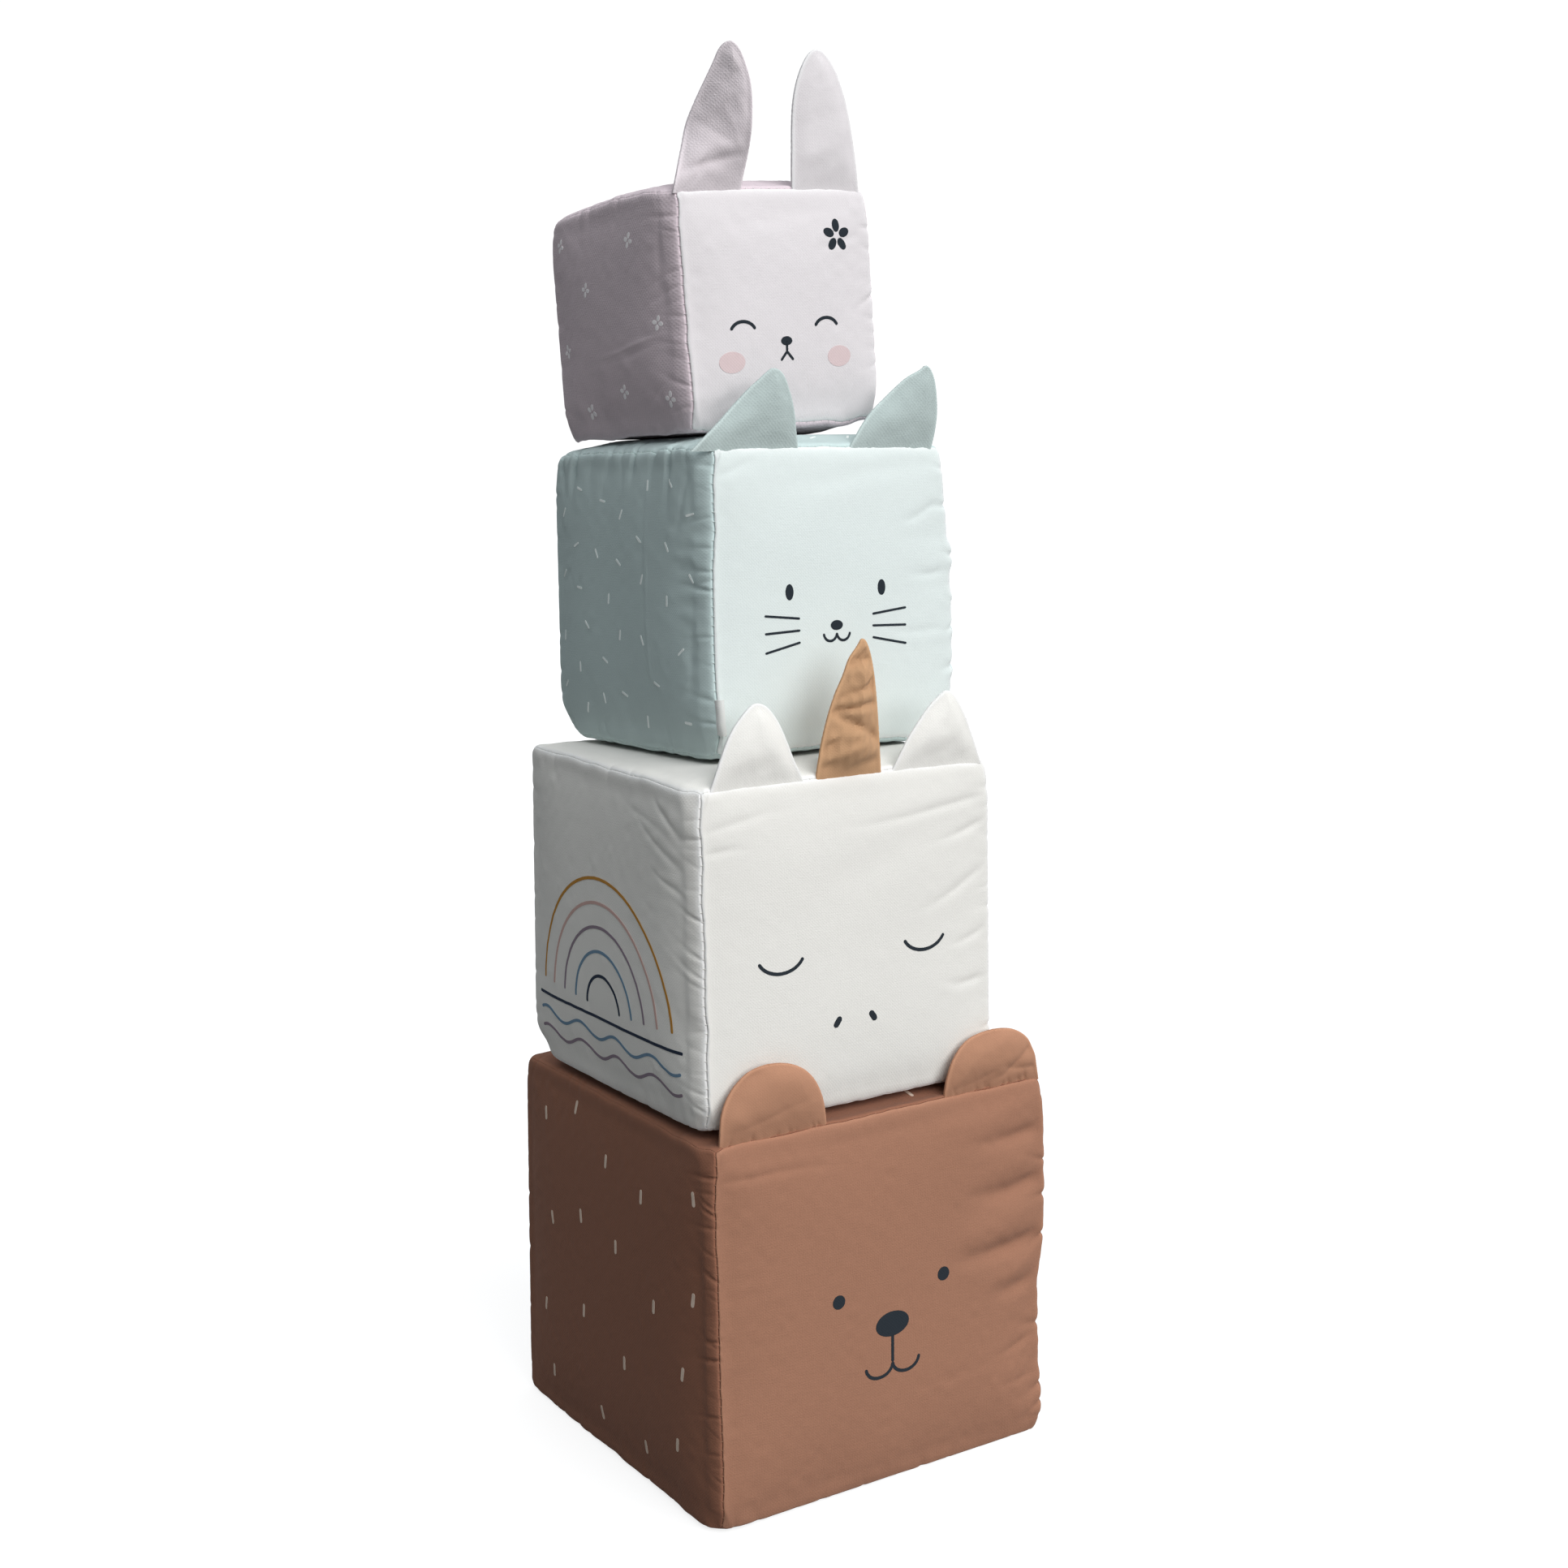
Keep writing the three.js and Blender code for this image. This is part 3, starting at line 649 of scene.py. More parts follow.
    def at(self, x, y, rise=0.0):
        """Points on the cloth, at places across and up from the panel's middle, raised off it."""
        column = np.interp(x, self.x, np.arange(len(self.x)))
        row = np.interp(y, self.y, np.arange(len(self.y)))
        c, r = np.minimum(column.astype(int), len(self.x) - 2), np.minimum(row.astype(int), len(self.y) - 2)
        u, v = (column - c)[..., None], (row - r)[..., None]

        def mixed(grid):
            low = grid[r, c] * (1 - u) + grid[r, c + 1] * u
            high = grid[r + 1, c] * (1 - u) + grid[r + 1, c + 1] * u
            return low * (1 - v) + high * v

        return mixed(self.points) + rise * mixed(self.normals)


# Meshes

def linked(name, data):
    """A new object in the scene."""
    made = bpy.data.objects.new(name, data)
    bpy.context.scene.collection.objects.link(made)
    return made


def grid_cells(numbers):
    """The cells of a grid of point numbers, each as its four corners."""
    corners = [numbers[:-1, :-1], numbers[:-1, 1:], numbers[1:, 1:], numbers[1:, :-1]]
    return np.stack(corners, -1).reshape(-1, 4)
class Shape:
    """Vertices, polygons and cloth coordinates gathered into one mesh."""

    def __init__(self):
        self.points, self.places, self.edges, self.polygons, self.count = [], [], [], [], 0

    def add(self, points, places, polygons, edge=None):
        points = points.reshape(-1, 3)
        self.points.append(points)
        self.places.append(places.reshape(-1, 2))
        self.edges.append(np.zeros(len(points)) if edge is None else edge.ravel())
        self.polygons += [[index + self.count for index in polygon] for polygon in polygons]
        self.count += len(points)

    def piece(self, name, material, body=None, sharp=50):
        mesh = bpy.data.meshes.new(name)
        mesh.from_pydata((np.concatenate(self.points) * MM).tolist(), [], self.polygons)
        corners = np.zeros(len(mesh.loops), int)
        mesh.loops.foreach_get("vertex_index", corners)
        layer = mesh.uv_layers.new(name="cloth")
        layer.data.foreach_set("uv", np.concatenate(self.places)[corners].ravel())
        # How far the cloth is painted paler near its edges: partly wear, partly a painted highlight
        wear_and_highlight = mesh.attributes.new("edge", "FLOAT", "POINT")
        wear_and_highlight.data.foreach_set("value", np.concatenate(self.edges))
        mesh.polygons.foreach_set("use_smooth", np.ones(len(mesh.polygons), bool))
        mesh.set_sharp_from_angle(angle=math.radians(sharp))
        mesh.materials.append(material)
        piece = linked(name, mesh)
        if body:
            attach(piece, body)
        return piece


def marks(count, step):
    """Every so many of a count of lines, and the last one."""
    return sorted({*range(0, count, step), count - 1})


def sheet_polygons(rows, columns, step):
    """The faces of a closed sheet: a fine outer grid, a coarse inner one and the rim between them.
    Also which points of the inner grid are used, in order."""
    outer = np.arange(rows * columns).reshape(rows, columns)
    polygons = grid_cells(outer).tolist()
    coarse_rows, coarse_columns = marks(rows, step), marks(columns, step)
    used = np.zeros((rows, columns), bool)
    used[np.ix_(coarse_rows, coarse_columns)] = True
    used[0], used[-1], used[:, 0], used[:, -1] = True, True, True, True
    inner = np.full((rows, columns), -1)
    inner[used] = rows * columns + np.arange(used.sum())
    for low, high in zip(coarse_rows, coarse_rows[1:]):
        for left, right in zip(coarse_columns, coarse_columns[1:]):
            foot = inner[low, left:right + 1] if low == 0 else inner[low, [left, right]]
            head = inner[high, left:right + 1] if high == rows - 1 else inner[high, [left, right]]
            start = inner[low + 1:high, left] if left == 0 else []
            end = inner[low + 1:high, right] if right == columns - 1 else []
            ring = [*foot, *end, *head[::-1], *start[::-1]]
            polygons.append([int(index) for index in ring[::-1]])
    loop = [(0, c) for c in range(columns - 1)] + [(r, columns - 1) for r in range(rows - 1)]
    loop += [(rows - 1, c) for c in range(columns - 1, 0, -1)] + [(r, 0) for r in range(rows - 1, 0, -1)]
    for here, there in zip(loop, loop[1:] + loop[:1]):
        polygons.append([int(outer[here]), int(inner[here]), int(inner[there]), int(outer[there])])
    return polygons, used


def add_sheet(shape, outer, inner, places, edge=None, step=1):
    rows, columns = outer.shape[:2]
    polygons, used = sheet_polygons(rows, columns, step)
    edge = np.zeros((rows, columns)) if edge is None else edge
    shape.add(
        np.concatenate([outer.reshape(-1, 3), inner[used]]),
        np.concatenate([places.reshape(-1, 2), places[used]]),
        polygons,
        np.concatenate([edge.ravel(), edge[used]]),
    )


# Materials

# The scale of the yarn's slubs, of the soft fading and of single fibres, and how deep the fibres lie
YARN_SCALE, CLOUD_SCALE, FIBRE_SCALE = 260.0, 16.0, 900.0
YARN_STRETCH, FIBRE_DEPTH = 9, 0.03

# How far the tones of cloth lie from its colour: faded and fresh, streaks, and the gaps between threads
FADED, FRESH, DARK_STREAK, PALE_STREAK, GAP_SHADE = 0.035, 0.045, 0.07, 0.05, 0.97

# Paler edges, partly wear and partly a painted highlight on the seam ridges: how pale they are at least and
# how fibres add to it, how much paler, and the palest they get
WEAR_AND_HIGHLIGHT_LEAST, WEAR_AND_HIGHLIGHT_FIBRES, WEAR_AND_HIGHLIGHT_PALER, WEAR_AND_HIGHLIGHT_PALEST = 0.3, 0.8, 1.3, 0.88
ROUGHNESS_SPAN = 0.08


def feed(tree, socket, value):
    """Links an output to a socket, or sets the socket to a plain value."""
    if isinstance(value, bpy.types.NodeSocket):
        tree.links.new(value, socket)
    else:
        socket.default_value = value


def node(tree, kind, settings=None, **inputs):
    """A shader node. Its inputs go by their sockets' names, or by i and a number."""
    made = tree.nodes.new(kind)
    for name, value in (settings or {}).items():
        setattr(made, name, value)
    for name, value in inputs.items():
        numbered = name[0] == "i" and name[1:].isdigit()
        feed(tree, made.inputs[int(name[1:]) if numbered else name.replace("_", " ")], value)
    return made


def math_node(tree, operation, *values):
    inputs = {f"i{number}": value for number, value in enumerate(values)}
    return node(tree, "ShaderNodeMath", {"operation": operation}, **inputs).outputs[0]


def times(tree, first, second):
    return math_node(tree, "MULTIPLY", first, second)


def plus(tree, first, second):
    return math_node(tree, "ADD", first, second)


def noise(tree, vector, scale, detail, roughness=0.5):
    inputs = dict(Vector=vector, Scale=scale, Detail=detail, Roughness=roughness)
    return node(tree, "ShaderNodeTexNoise", **inputs).outputs[0]


def mixed_colour(tree, share, first, second, blend="MIX"):
    mix = tree.nodes.new("ShaderNodeMix")
    mix.data_type, mix.blend_type = "RGBA", blend
    for number, value in ((0, share), (6, first), (7, second)):
        feed(tree, mix.inputs[number], value)
    return mix.outputs[2]


def linear(colour):
    """A colour written as on a screen, as light."""
    parts = [int(colour[start:start + 2], 16) / 255 for start in (1, 3, 5)]
    light = [part / 12.92 if part <= 0.04045 else ((part + 0.055) / 1.055) ** 2.4 for part in parts]
    return (*light, 1)


def scaled(colour, factor):
    return tuple(part * factor for part in colour[:3]) + (1,)


def grey(level):
    return (level, level, level, 1)


def new_material(name):
    """A new material and its node tree."""
    material = bpy.data.materials.new(name)
    material.use_nodes = True
    return material, material.node_tree


def woven(tree, cloth, weave):
    """The threads, over and under each other, and how uneven the yarn is along its length."""
    place = node(tree, "ShaderNodeSeparateXYZ", Vector=cloth)
    number = 1000 * math.pi / weave
    threads = [math_node(tree, "SINE", times(tree, place.outputs[axis], number)) for axis in (0, 1)]
    yarns = []
    for scale in ((YARN_STRETCH, 1, 1), (1, YARN_STRETCH, 1)):
        stretched = node(tree, "ShaderNodeMapping", Vector=cloth, Scale=scale).outputs[0]
        yarns.append(noise(tree, stretched, YARN_SCALE, 3.0, 0.6))
    return times(tree, *threads), math_node(tree, "SUBTRACT", plus(tree, *yarns), 1.0)


def fabric(name, colour, weave=0.55, weave_depth=0.025, slub=0.12, sheen=0.06, roughness=0.88, mottle=1.0):
    """Plain woven cotton: threads over and under, uneven yarn, soft fading, and edges painted paler, partly
    for wear and partly as a painted highlight.
    """
    material, tree = new_material(name)
    shader = tree.nodes["Principled BSDF"]
    over, yarn = woven(tree, node(tree, "ShaderNodeUVMap", {"uv_map": "cloth"}).outputs[0], weave)
    where = node(tree, "ShaderNodeTexCoord").outputs["Object"]
    cloudy, fine = noise(tree, where, CLOUD_SCALE, 4.0, 0.55), noise(tree, where, FIBRE_SCALE, 2.0)
    base = linear(colour)
    tone = mixed_colour(tree, cloudy, scaled(base, 1 - FRESH * mottle), scaled(base, 1 + FADED * mottle))
    streaked = plus(tree, 0.5, times(tree, yarn, slub * 4))
    deep, pale = scaled(base, 1 - DARK_STREAK * mottle), scaled(base, 1 + PALE_STREAK * mottle)
    tone = mixed_colour(tree, 0.5, tone, mixed_colour(tree, streaked, deep, pale))
    gaps = plus(tree, 0.5, times(tree, over, 0.5))
    tone = mixed_colour(tree, gaps, mixed_colour(tree, 1.0, tone, grey(GAP_SHADE), "MULTIPLY"), tone)
    # Paler near the edges: partly wear, partly a painted highlight on the seam ridges
    edge = node(tree, "ShaderNodeAttribute", {"attribute_name": "edge"}).outputs["Fac"]
    wear_and_highlight = times(tree, edge, plus(tree, WEAR_AND_HIGHLIGHT_LEAST, times(tree, fine, WEAR_AND_HIGHLIGHT_FIBRES)))
    paler = tuple(min(WEAR_AND_HIGHLIGHT_PALER * part, WEAR_AND_HIGHLIGHT_PALEST) for part in base[:3]) + (1,)
    rough = plus(tree, roughness - ROUGHNESS_SPAN / 2, times(tree, cloudy, ROUGHNESS_SPAN))
    height = plus(tree, times(tree, over, weave_depth), times(tree, yarn, slub))
    height = plus(tree, height, times(tree, fine, FIBRE_DEPTH))
    bump = node(tree, "ShaderNodeBump", Strength=0.55, Distance=MM, Height=height)
    for socket, value in (
        ("Base Color", mixed_colour(tree, wear_and_highlight, tone, paler)), ("Roughness", rough),
        ("Normal", bump.outputs[0]), ("Specular IOR Level", 0.05), ("Sheen Weight", sheen),
        ("Sheen Roughness", 0.5),
    ):
        feed(tree, shader.inputs[socket], value)
    return material


def ink(name, colour):
    """Printed ink: matt and thin, with the weave showing through."""
    return fabric(name, colour, weave_depth=0.03, slub=0.06, sheen=0.0, roughness=0.8)


def foamed(name, colour, scale, depth):
    """Foam or wadding: cells whose hollows are painted darker, as shade, and a slightly cloudy colour."""
    material, tree = new_material(name)
    shader = tree.nodes["Principled BSDF"]
    where = node(tree, "ShaderNodeTexCoord").outputs["Object"]
    cells = node(tree, "ShaderNodeTexVoronoi", Vector=where, Scale=scale).outputs["Distance"]
    base = linear(colour)
    tone = mixed_colour(tree, noise(tree, where, 20.0, 3.0), scaled(base, 0.9), base)
    bump = node(tree, "ShaderNodeBump", Strength=0.6, Distance=depth * MM, Height=cells)
    # Painted shade: the hollows in the middles of the cells are darker
    for socket, value in (
        ("Base Color", mixed_colour(tree, cells, scaled(base, 0.8), tone)),
        ("Normal", bump.outputs[0]), ("Roughness", 0.95),
    ):
        feed(tree, shader.inputs[socket], value)
    return material


LINEN = dict(weave=0.7, weave_depth=0.05, slub=0.22, mottle=2)
INKS = {
    "ochre": "#b3823f", "pink": "#c9a9a2", "mauve": "#8c7f8a", "blue": "#6f8aa0", "navy": "#27303f",
    "blush": "#dec9ca", "bear_motif": "#d6c2b2", "cat_motif": "#f0f6f4", "bunny_motif": "#f6f2f4",
}
THREADS = {"bear": "#9a705a", "unicorn": "#e0ded8", "cat": "#d2dcda", "bunny": "#d8d2d4"}
MATERIALS = {
    "bear": fabric("bear_cotton", "#a1755f", slub=0.2, mottle=2.4),
    # A paler copy of the bear cloth for its ears: painted light, where they tilt up towards the light
    "bear_ear": fabric("bear_ear_cotton", "#b3856b", mottle=2),
    "bear_side": fabric("bear_side_cotton", "#865c49", mottle=2),
    "unicorn": fabric("unicorn_cotton", "#e5e3de", mottle=0.5),
    "unicorn_ear": fabric("unicorn_ear_cotton", "#efede8"),
    "horn": fabric("horn_cotton", "#bf9774", slub=0.16),
    "cat": fabric("cat_cotton", "#dfe7e5", mottle=0.5),
    "cat_side": fabric("cat_side_cotton", "#bccccb"),
    "cat_ear": fabric("cat_ear_linen", "#b6c3c1", weave=0.7, weave_depth=0.06, slub=0.2),
    "bunny": fabric("bunny_cotton", "#e3dee0"),
    "bunny_side": fabric("bunny_side_linen", "#d2c4ca", **LINEN),
    # The bunny's left ear: darker than the cloth of its right ear, painted shade where it turns away from the
    # light
    "bunny_ear": fabric("bunny_ear_linen", "#d6cdd1", **LINEN),
    "label": fabric("label_tape", "#dfe0de", weave=0.4, slub=0.05),
    "ink": ink("dark_ink", "#2c3238"),
    "foam": foamed("open_foam", "#e8e2c8", 700.0, 0.4),
    "wadding": foamed("soft_wadding", "#f4f3ef", 300.0, 0.8),
}
MATERIALS |= {name: ink(f"{name}_ink", colour) for name, colour in INKS.items()}
for name, colour in THREADS.items():
    MATERIALS[f"{name}_thread"] = fabric(f"{name}_thread", colour, weave=0.3)


# Settling: a coarse copy of each cover is simulated as cloth, filled and pinned along its seams

SETTLE_STEP, SETTLE_FRAMES, SETTLE_LIMIT = 3.0, 20, 1.1
SETTLE_SCALE = 0.02
SETTLE_START = 0.08
SETTLE_SMOOTH = 14
SETTLE_CLOTH = dict(
    quality=5, tension_stiffness=40, compression_stiffness=40, shear_stiffness=15, bending_stiffness=5,
    use_pressure=True, uniform_pressure_force=1.0,
)
ON_SEAM = 0.1


def coarse_lines(size):
    half = size / 2 - EDGE_RADIUS + EDGE_RADIUS * QUARTER
    return np.linspace(-half, half, round(2 * half / SETTLE_STEP) + 1)


def cover_copy(block):
    """Points and faces of the coarse cover, each point's distance from a seam, and each face's share."""
    places, points, seams, cells, spans, count = [], [], [], [], {}, 0
    for face in FACES:
        panel = panels[block.name, face]
        x, y = (coarse_lines(side) for side in panel.size)
        over = np.meshgrid(x, y)
        places.append(face_grid(face, block.size, EDGE_RADIUS, x, y)[0].reshape(-1, 3))
        points.append(panel.at(*over).reshape(-1, 3))
        seams.append(np.minimum(x[-1] - abs(over[0]), y[-1] - abs(over[1])).ravel())
        numbers = count + np.arange(over[0].size).reshape(over[0].shape)
        cells.append(grid_cells(numbers))
        spans[face] = (x, y, numbers)
        count += numbers.size
    together = np.round(np.concatenate(places), 2)
    _, first, order = np.unique(together, axis=0, return_index=True, return_inverse=True)
    order = order.ravel()
    spans = {face: (x, y, order[numbers]) for face, (x, y, numbers) in spans.items()}
    return np.concatenate(points)[first], order[np.concatenate(cells)], np.concatenate(seams)[first], spans


def simulated(points, faces, seam, source):
    """Where the points of a closed cover come to rest, pinned along its seams."""
    mesh = bpy.data.meshes.new("cover_copy")
    start = points + source.normal(0, SETTLE_START, points.shape) * (seam > ON_SEAM)[:, None]
    mesh.from_pydata((start * SETTLE_SCALE).tolist(), [], faces.tolist())
    cover = linked("cover_copy", mesh)
    pins = cover.vertex_groups.new(name="pins")
    pins.add([int(index) for index in np.flatnonzero(seam < ON_SEAM)], 1.0, "REPLACE")
    cloth = cover.modifiers.new("settling", "CLOTH")
    cloth.settings.vertex_group_mass = pins.name
    for setting, value in SETTLE_CLOTH.items():
        setattr(cloth.settings, setting, value)
    cloth.settings.effector_weights.gravity = 0
    cloth.collision_settings.use_collision = False
    cloth.point_cache.frame_start, cloth.point_cache.frame_end = 1, SETTLE_FRAMES
    for moment in range(1, SETTLE_FRAMES + 1):
        bpy.context.scene.frame_set(moment)
    settled = cover.evaluated_get(bpy.context.evaluated_depsgraph_get()).data
    rest = np.zeros(3 * len(points))
    settled.vertices.foreach_get("co", rest)
    bpy.data.objects.remove(cover)
    bpy.data.meshes.remove(mesh)
    bpy.context.scene.frame_set(1)
    return rest.reshape(-1, 3) / SETTLE_SCALE


def softened(field, width):
    """A field smoothed over a width given in grid cells."""
    reach = int(3 * width)
    weights = np.exp(-((np.arange(-reach, reach + 1) / width) ** 2) / 2)
    for _ in range(2):
        padded = np.pad(field, ((reach, reach), (0, 0)), mode="edge")
        field = np.apply_along_axis(np.convolve, 0, padded, weights / weights.sum(), "valid").T
    return field


def settle_cover(block):
    points, faces, seam, spans = cover_copy(block)
    rest = simulated(points, faces, seam, dice(block.name, "settle"))
    for face, (x, y, numbers) in spans.items():
        panel = panels[block.name, face]
        out = way_out(block, face)
        swell = (rest - points)[numbers] @ out
        small = swell - softened(swell, SETTLE_SMOOTH / SETTLE_STEP)
        small *= smooth(seam[numbers], 0, 2 * SETTLE_STEP)
        panel.settle(x, y, np.clip(small, -SETTLE_LIMIT, SETTLE_LIMIT))


# Covers

def make_panel(panel):
    block = panel.block
    inner = panel.points - CLOTH * (panel.way @ block.axes.T)
    x, y = np.meshgrid(panel.x, panel.y)
    shape = Shape()
    add_sheet(shape, panel.points, inner, np.stack([x, y], -1) * MM, panel.edge, COARSE_STEP)
    cloth = block.name if panel.face == "front" else f"{block.name}_side"
    cloth = cloth if cloth in MATERIALS else block.name
    piece = shape.piece(f"{block.name}_{panel.face}_cloth", MATERIALS[cloth], block.body)
    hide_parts(f"{block.name}_{panel.face}_panel")


# The filling and the seams

FOAM_DEPTH, FOAM_RADIUS = 3.2, 9
FOAM_LINES = np.array([0, 1.2, 2.4, 3.6, 4.8, 6.0, 7.2, 9])


def make_foam(block):
    size = block.size - 2 * FOAM_DEPTH
    grids, polygons, count = [], [], 0
    for face in FACES:
        across, up, _ = (np.abs(np.array(axis)) for axis in FACES[face])
        x, y = (line_places(side @ size, FOAM_RADIUS, FOAM_LINES, 4.0) for side in (across, up))
        base, way = face_grid(face, size, FOAM_RADIUS, x, y)
        swell = crown_height(block, face, *np.meshgrid(x / x[-1], y / y[-1]))
        points = seated(block, face, to_frame(block, base + way * swell[..., None]), FOAM_DEPTH)
        numbers = count + np.arange(points[..., 0].size).reshape(points.shape[:2])
        polygons.append(grid_cells(numbers))
        grids.append(points.reshape(-1, 3))
        count += numbers.size
    points, order = np.unique(np.round(np.concatenate(grids), 3), axis=0, return_inverse=True)
    shape = Shape()
    shape.add(points, points[:, :2] * MM, order.ravel()[np.concatenate(polygons)].tolist())
    piece = shape.piece(f"{block.name}_foam", MATERIALS["foam"], block.body)
    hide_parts(f"{block.name}_foam_core")


# The twelve seams of a block: two faces each
SEAMS = [
    (first, second)
    for number, first in enumerate(FACES)
    for second in list(FACES)[number + 1:]
    if FACES[first][2] != tuple(-part for part in FACES[second][2])
]


# How far short of a block's corners its seams are sewn
SEAM_END = 1.5


def seam_line(block, first, second, inset, step):
    """Matching points of two panels beside the seam that they share, a little way in from it."""
    lines = []
    for face, other in ((first, second), (second, first)):
        panel = panels[block.name, face]
        toward = np.array(FACES[other][2])
        across, up = panel.across @ toward, panel.up @ toward
        half = panel.x[-1] if across else panel.y[-1]
        reach = (panel.y[-1] if across else panel.x[-1]) - SEAM_END
        count = round(2 * reach / step)
        places = np.linspace(-reach, reach, count) * (panel.up if across else panel.across).sum()
        rim = np.full(count, half - inset)
        x, y = (across * rim, places) if across else (places, up * rim)
        lines.append(panel.at(x, y))
    return lines


def tube(shape, rings):
    """A closed tube through rings of points, in order along it."""
    count, side = len(rings), len(rings[0])
    numbers = np.arange(count * side).reshape(count, side)
    after = np.roll(numbers, -1, axis=1)
    walls = np.stack([numbers[:-1], after[:-1], after[1:], numbers[1:]], -1).reshape(-1, 4).tolist()
    points = np.array(rings)
    shape.add(points, points[..., :2] * MM, [*walls, numbers[0][::-1].tolist(), numbers[-1].tolist()])


# The turned-in edges: how deep they begin and end, half their thickness, and how they taper at their ends
ALLOWANCE = (1.3, 3.4, 0.45)
ALLOWANCE_INSET, ALLOWANCE_STEP, ALLOWANCE_TAPER = 0.03, 3.0, 0.05

# A stitch's rings: the share of the way over the seam, the height and the thickness of each
STITCH_RINGS = ((-0.12, -0.3, 0.6), (0.12, 0, 1), (0.5, 0.05, 1.1), (0.88, 0, 1), (1.12, -0.3, 0.6))
STITCH_STEP, STITCH_INSET, STITCH_RADIUS, STITCH_SIDES = 3.0, 0.55, 0.14, 6


def make_allowance(block):
    """The turned-in edges of the cloth, sewn together under every seam."""
    top, foot, half = ALLOWANCE
    shape = Shape()
    for first, second in SEAMS:
        one, two = seam_line(block, first, second, ALLOWANCE_INSET, ALLOWANCE_STEP)
        seam = (one + two) / 2
        normals = [way_out(block, face) for face in (first, second)]
        inwards = -(normals[0] + normals[1]) / math.sqrt(2)
        beside = (normals[0] - normals[1]) / math.sqrt(2) * half
        ends = np.linspace(0, 1, len(seam))
        taper = smooth(ends, 0, ALLOWANCE_TAPER) * smooth(1 - ends, 0, ALLOWANCE_TAPER)
        rings = []
        for point, share in zip(seam, taper):
            low = point + inwards * (top + (foot - top) * (0.2 + 0.8 * share))
            high = point + inwards * top
            rings.append([high + beside, low + beside, low - beside, high - beside])
        way = np.cross(beside, inwards) @ (seam[1] - seam[0])
        tube(shape, rings if way > 0 else rings[::-1])
    piece = shape.piece(f"{block.name}_seam_allowance", MATERIALS[block.name], block.body)
    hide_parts(f"{block.name}_seam_binding")


def make_stitches(block):
    """Small stitches that bridge the groove between two panels."""
    shape = Shape()
    turns = np.linspace(0, 2 * math.pi, STITCH_SIDES, endpoint=False)
    for first, second in SEAMS:
        outwards = sum(way_out(block, face) for face in (first, second)) / math.sqrt(2)
        for start, end in zip(*seam_line(block, first, second, STITCH_INSET, STITCH_STEP)):
            along = (end - start) / np.linalg.norm(end - start)
            side = np.cross(along, outwards)
            rings = []
            for share, lift, thick in STITCH_RINGS:
                middle = start + (end - start) * share + outwards * (lift - STITCH_RADIUS)
                rings.append([
                    middle + STITCH_RADIUS * thick * (math.cos(turn) * outwards + math.sin(turn) * side)
                    for turn in turns
                ])
            tube(shape, rings)
    shape.piece(f"{block.name}_stitches", MATERIALS[f"{block.name}_thread"], block.body)


# Prints: thin ink that lies on the cloth. Places are from the middle of a panel, seen from outside.

INK_RISE, INK_DEPTH = 0.1, 0.2
STROKE, STROKE_STEP, STROKE_TIP = 1.1, 0.7, 0.02
STROKE_END_SHARES = np.array([0, 0.06, 0.2, 0.5])
DISC_ROWS, DISC_COLUMNS, DISC_REACH = 13, 9, 84
ARC_POINTS = 33


class Print:
    """The ink on one panel, one piece for each colour."""

    def __init__(self, panel):
        self.panel, self.shapes = panel, {}

    def lay(self, ink, x, y):
        outer, inner = self.panel.at(x, y, INK_RISE), self.panel.at(x, y, -INK_DEPTH)
        add_sheet(self.shapes.setdefault(ink, Shape()), outer, inner, np.stack([x, y], -1) * MM)

    def line(self, ink, path, width=STROKE):
        """A stroke with rounded ends along a path of points."""
        path = np.array(path, float)
        lengths = np.concatenate([[0], np.cumsum(np.linalg.norm(np.diff(path, axis=0), axis=1))])
        full = lengths[-1]
        ends = STROKE_END_SHARES * width
        middle = np.linspace(width, full - width, max(4, int(full / STROKE_STEP)))
        places = np.concatenate([ends, middle, full - ends[::-1]])
        x, y = (np.interp(places, lengths, path[:, axis]) for axis in (0, 1))
        way = np.stack([np.gradient(x, places), np.gradient(y, places)])
        way /= np.linalg.norm(way, axis=0)
        from_end = np.minimum(places, full - places)
        half = width / 2 * np.sqrt(1 - (1 - np.clip(from_end / (width / 2), STROKE_TIP, 1)) ** 2)
        off_x, off_y = (half * way[1])[:, None], (half * way[0])[:, None]
        sides = np.array([-1, 0, 1])
        self.lay(ink, x[:, None] + sides * off_x, y[:, None] - sides * off_y)

    def disc(self, ink, x, y, width, height=None, slant=0.0):
        height = height or width
        turns = np.radians(np.linspace(-DISC_REACH, DISC_REACH, DISC_ROWS))
        sides = np.linspace(-1, 1, DISC_COLUMNS)
        u = width / 2 * np.cos(turns)[:, None] * sides
        v = height / 2 * np.repeat(np.sin(turns)[:, None], len(sides), 1)
        cosine, sine = math.cos(math.radians(slant)), math.sin(math.radians(slant))
        self.lay(ink, x + u * cosine - v * sine, y + u * sine + v * cosine)

    def arc(self, ink, x, y, radius, start, end, width=STROKE, squash=1.0):
        turns = np.radians(np.linspace(start, end, ARC_POINTS))
        self.line(ink, np.stack([x + radius * np.cos(turns), y + squash * radius * np.sin(turns)], 1), width)

    def petals(self, ink, x, y, count, first, reach, width, height, tilt=0):
        """A ring of petals, the first of them at an angle given in degrees."""
        for number in range(count):
            angle = first + 360 / count * number
            turn = math.radians(angle)
            middle = x + reach * math.cos(turn), y + reach * math.sin(turn)
            self.disc(ink, *middle, width, height, angle + tilt)

    def finish(self):
        block = self.panel.block
        for ink, shape in self.shapes.items():
            shape.piece(f"{block.name}_{self.panel.face}_{ink}_print", MATERIALS[ink], block.body)


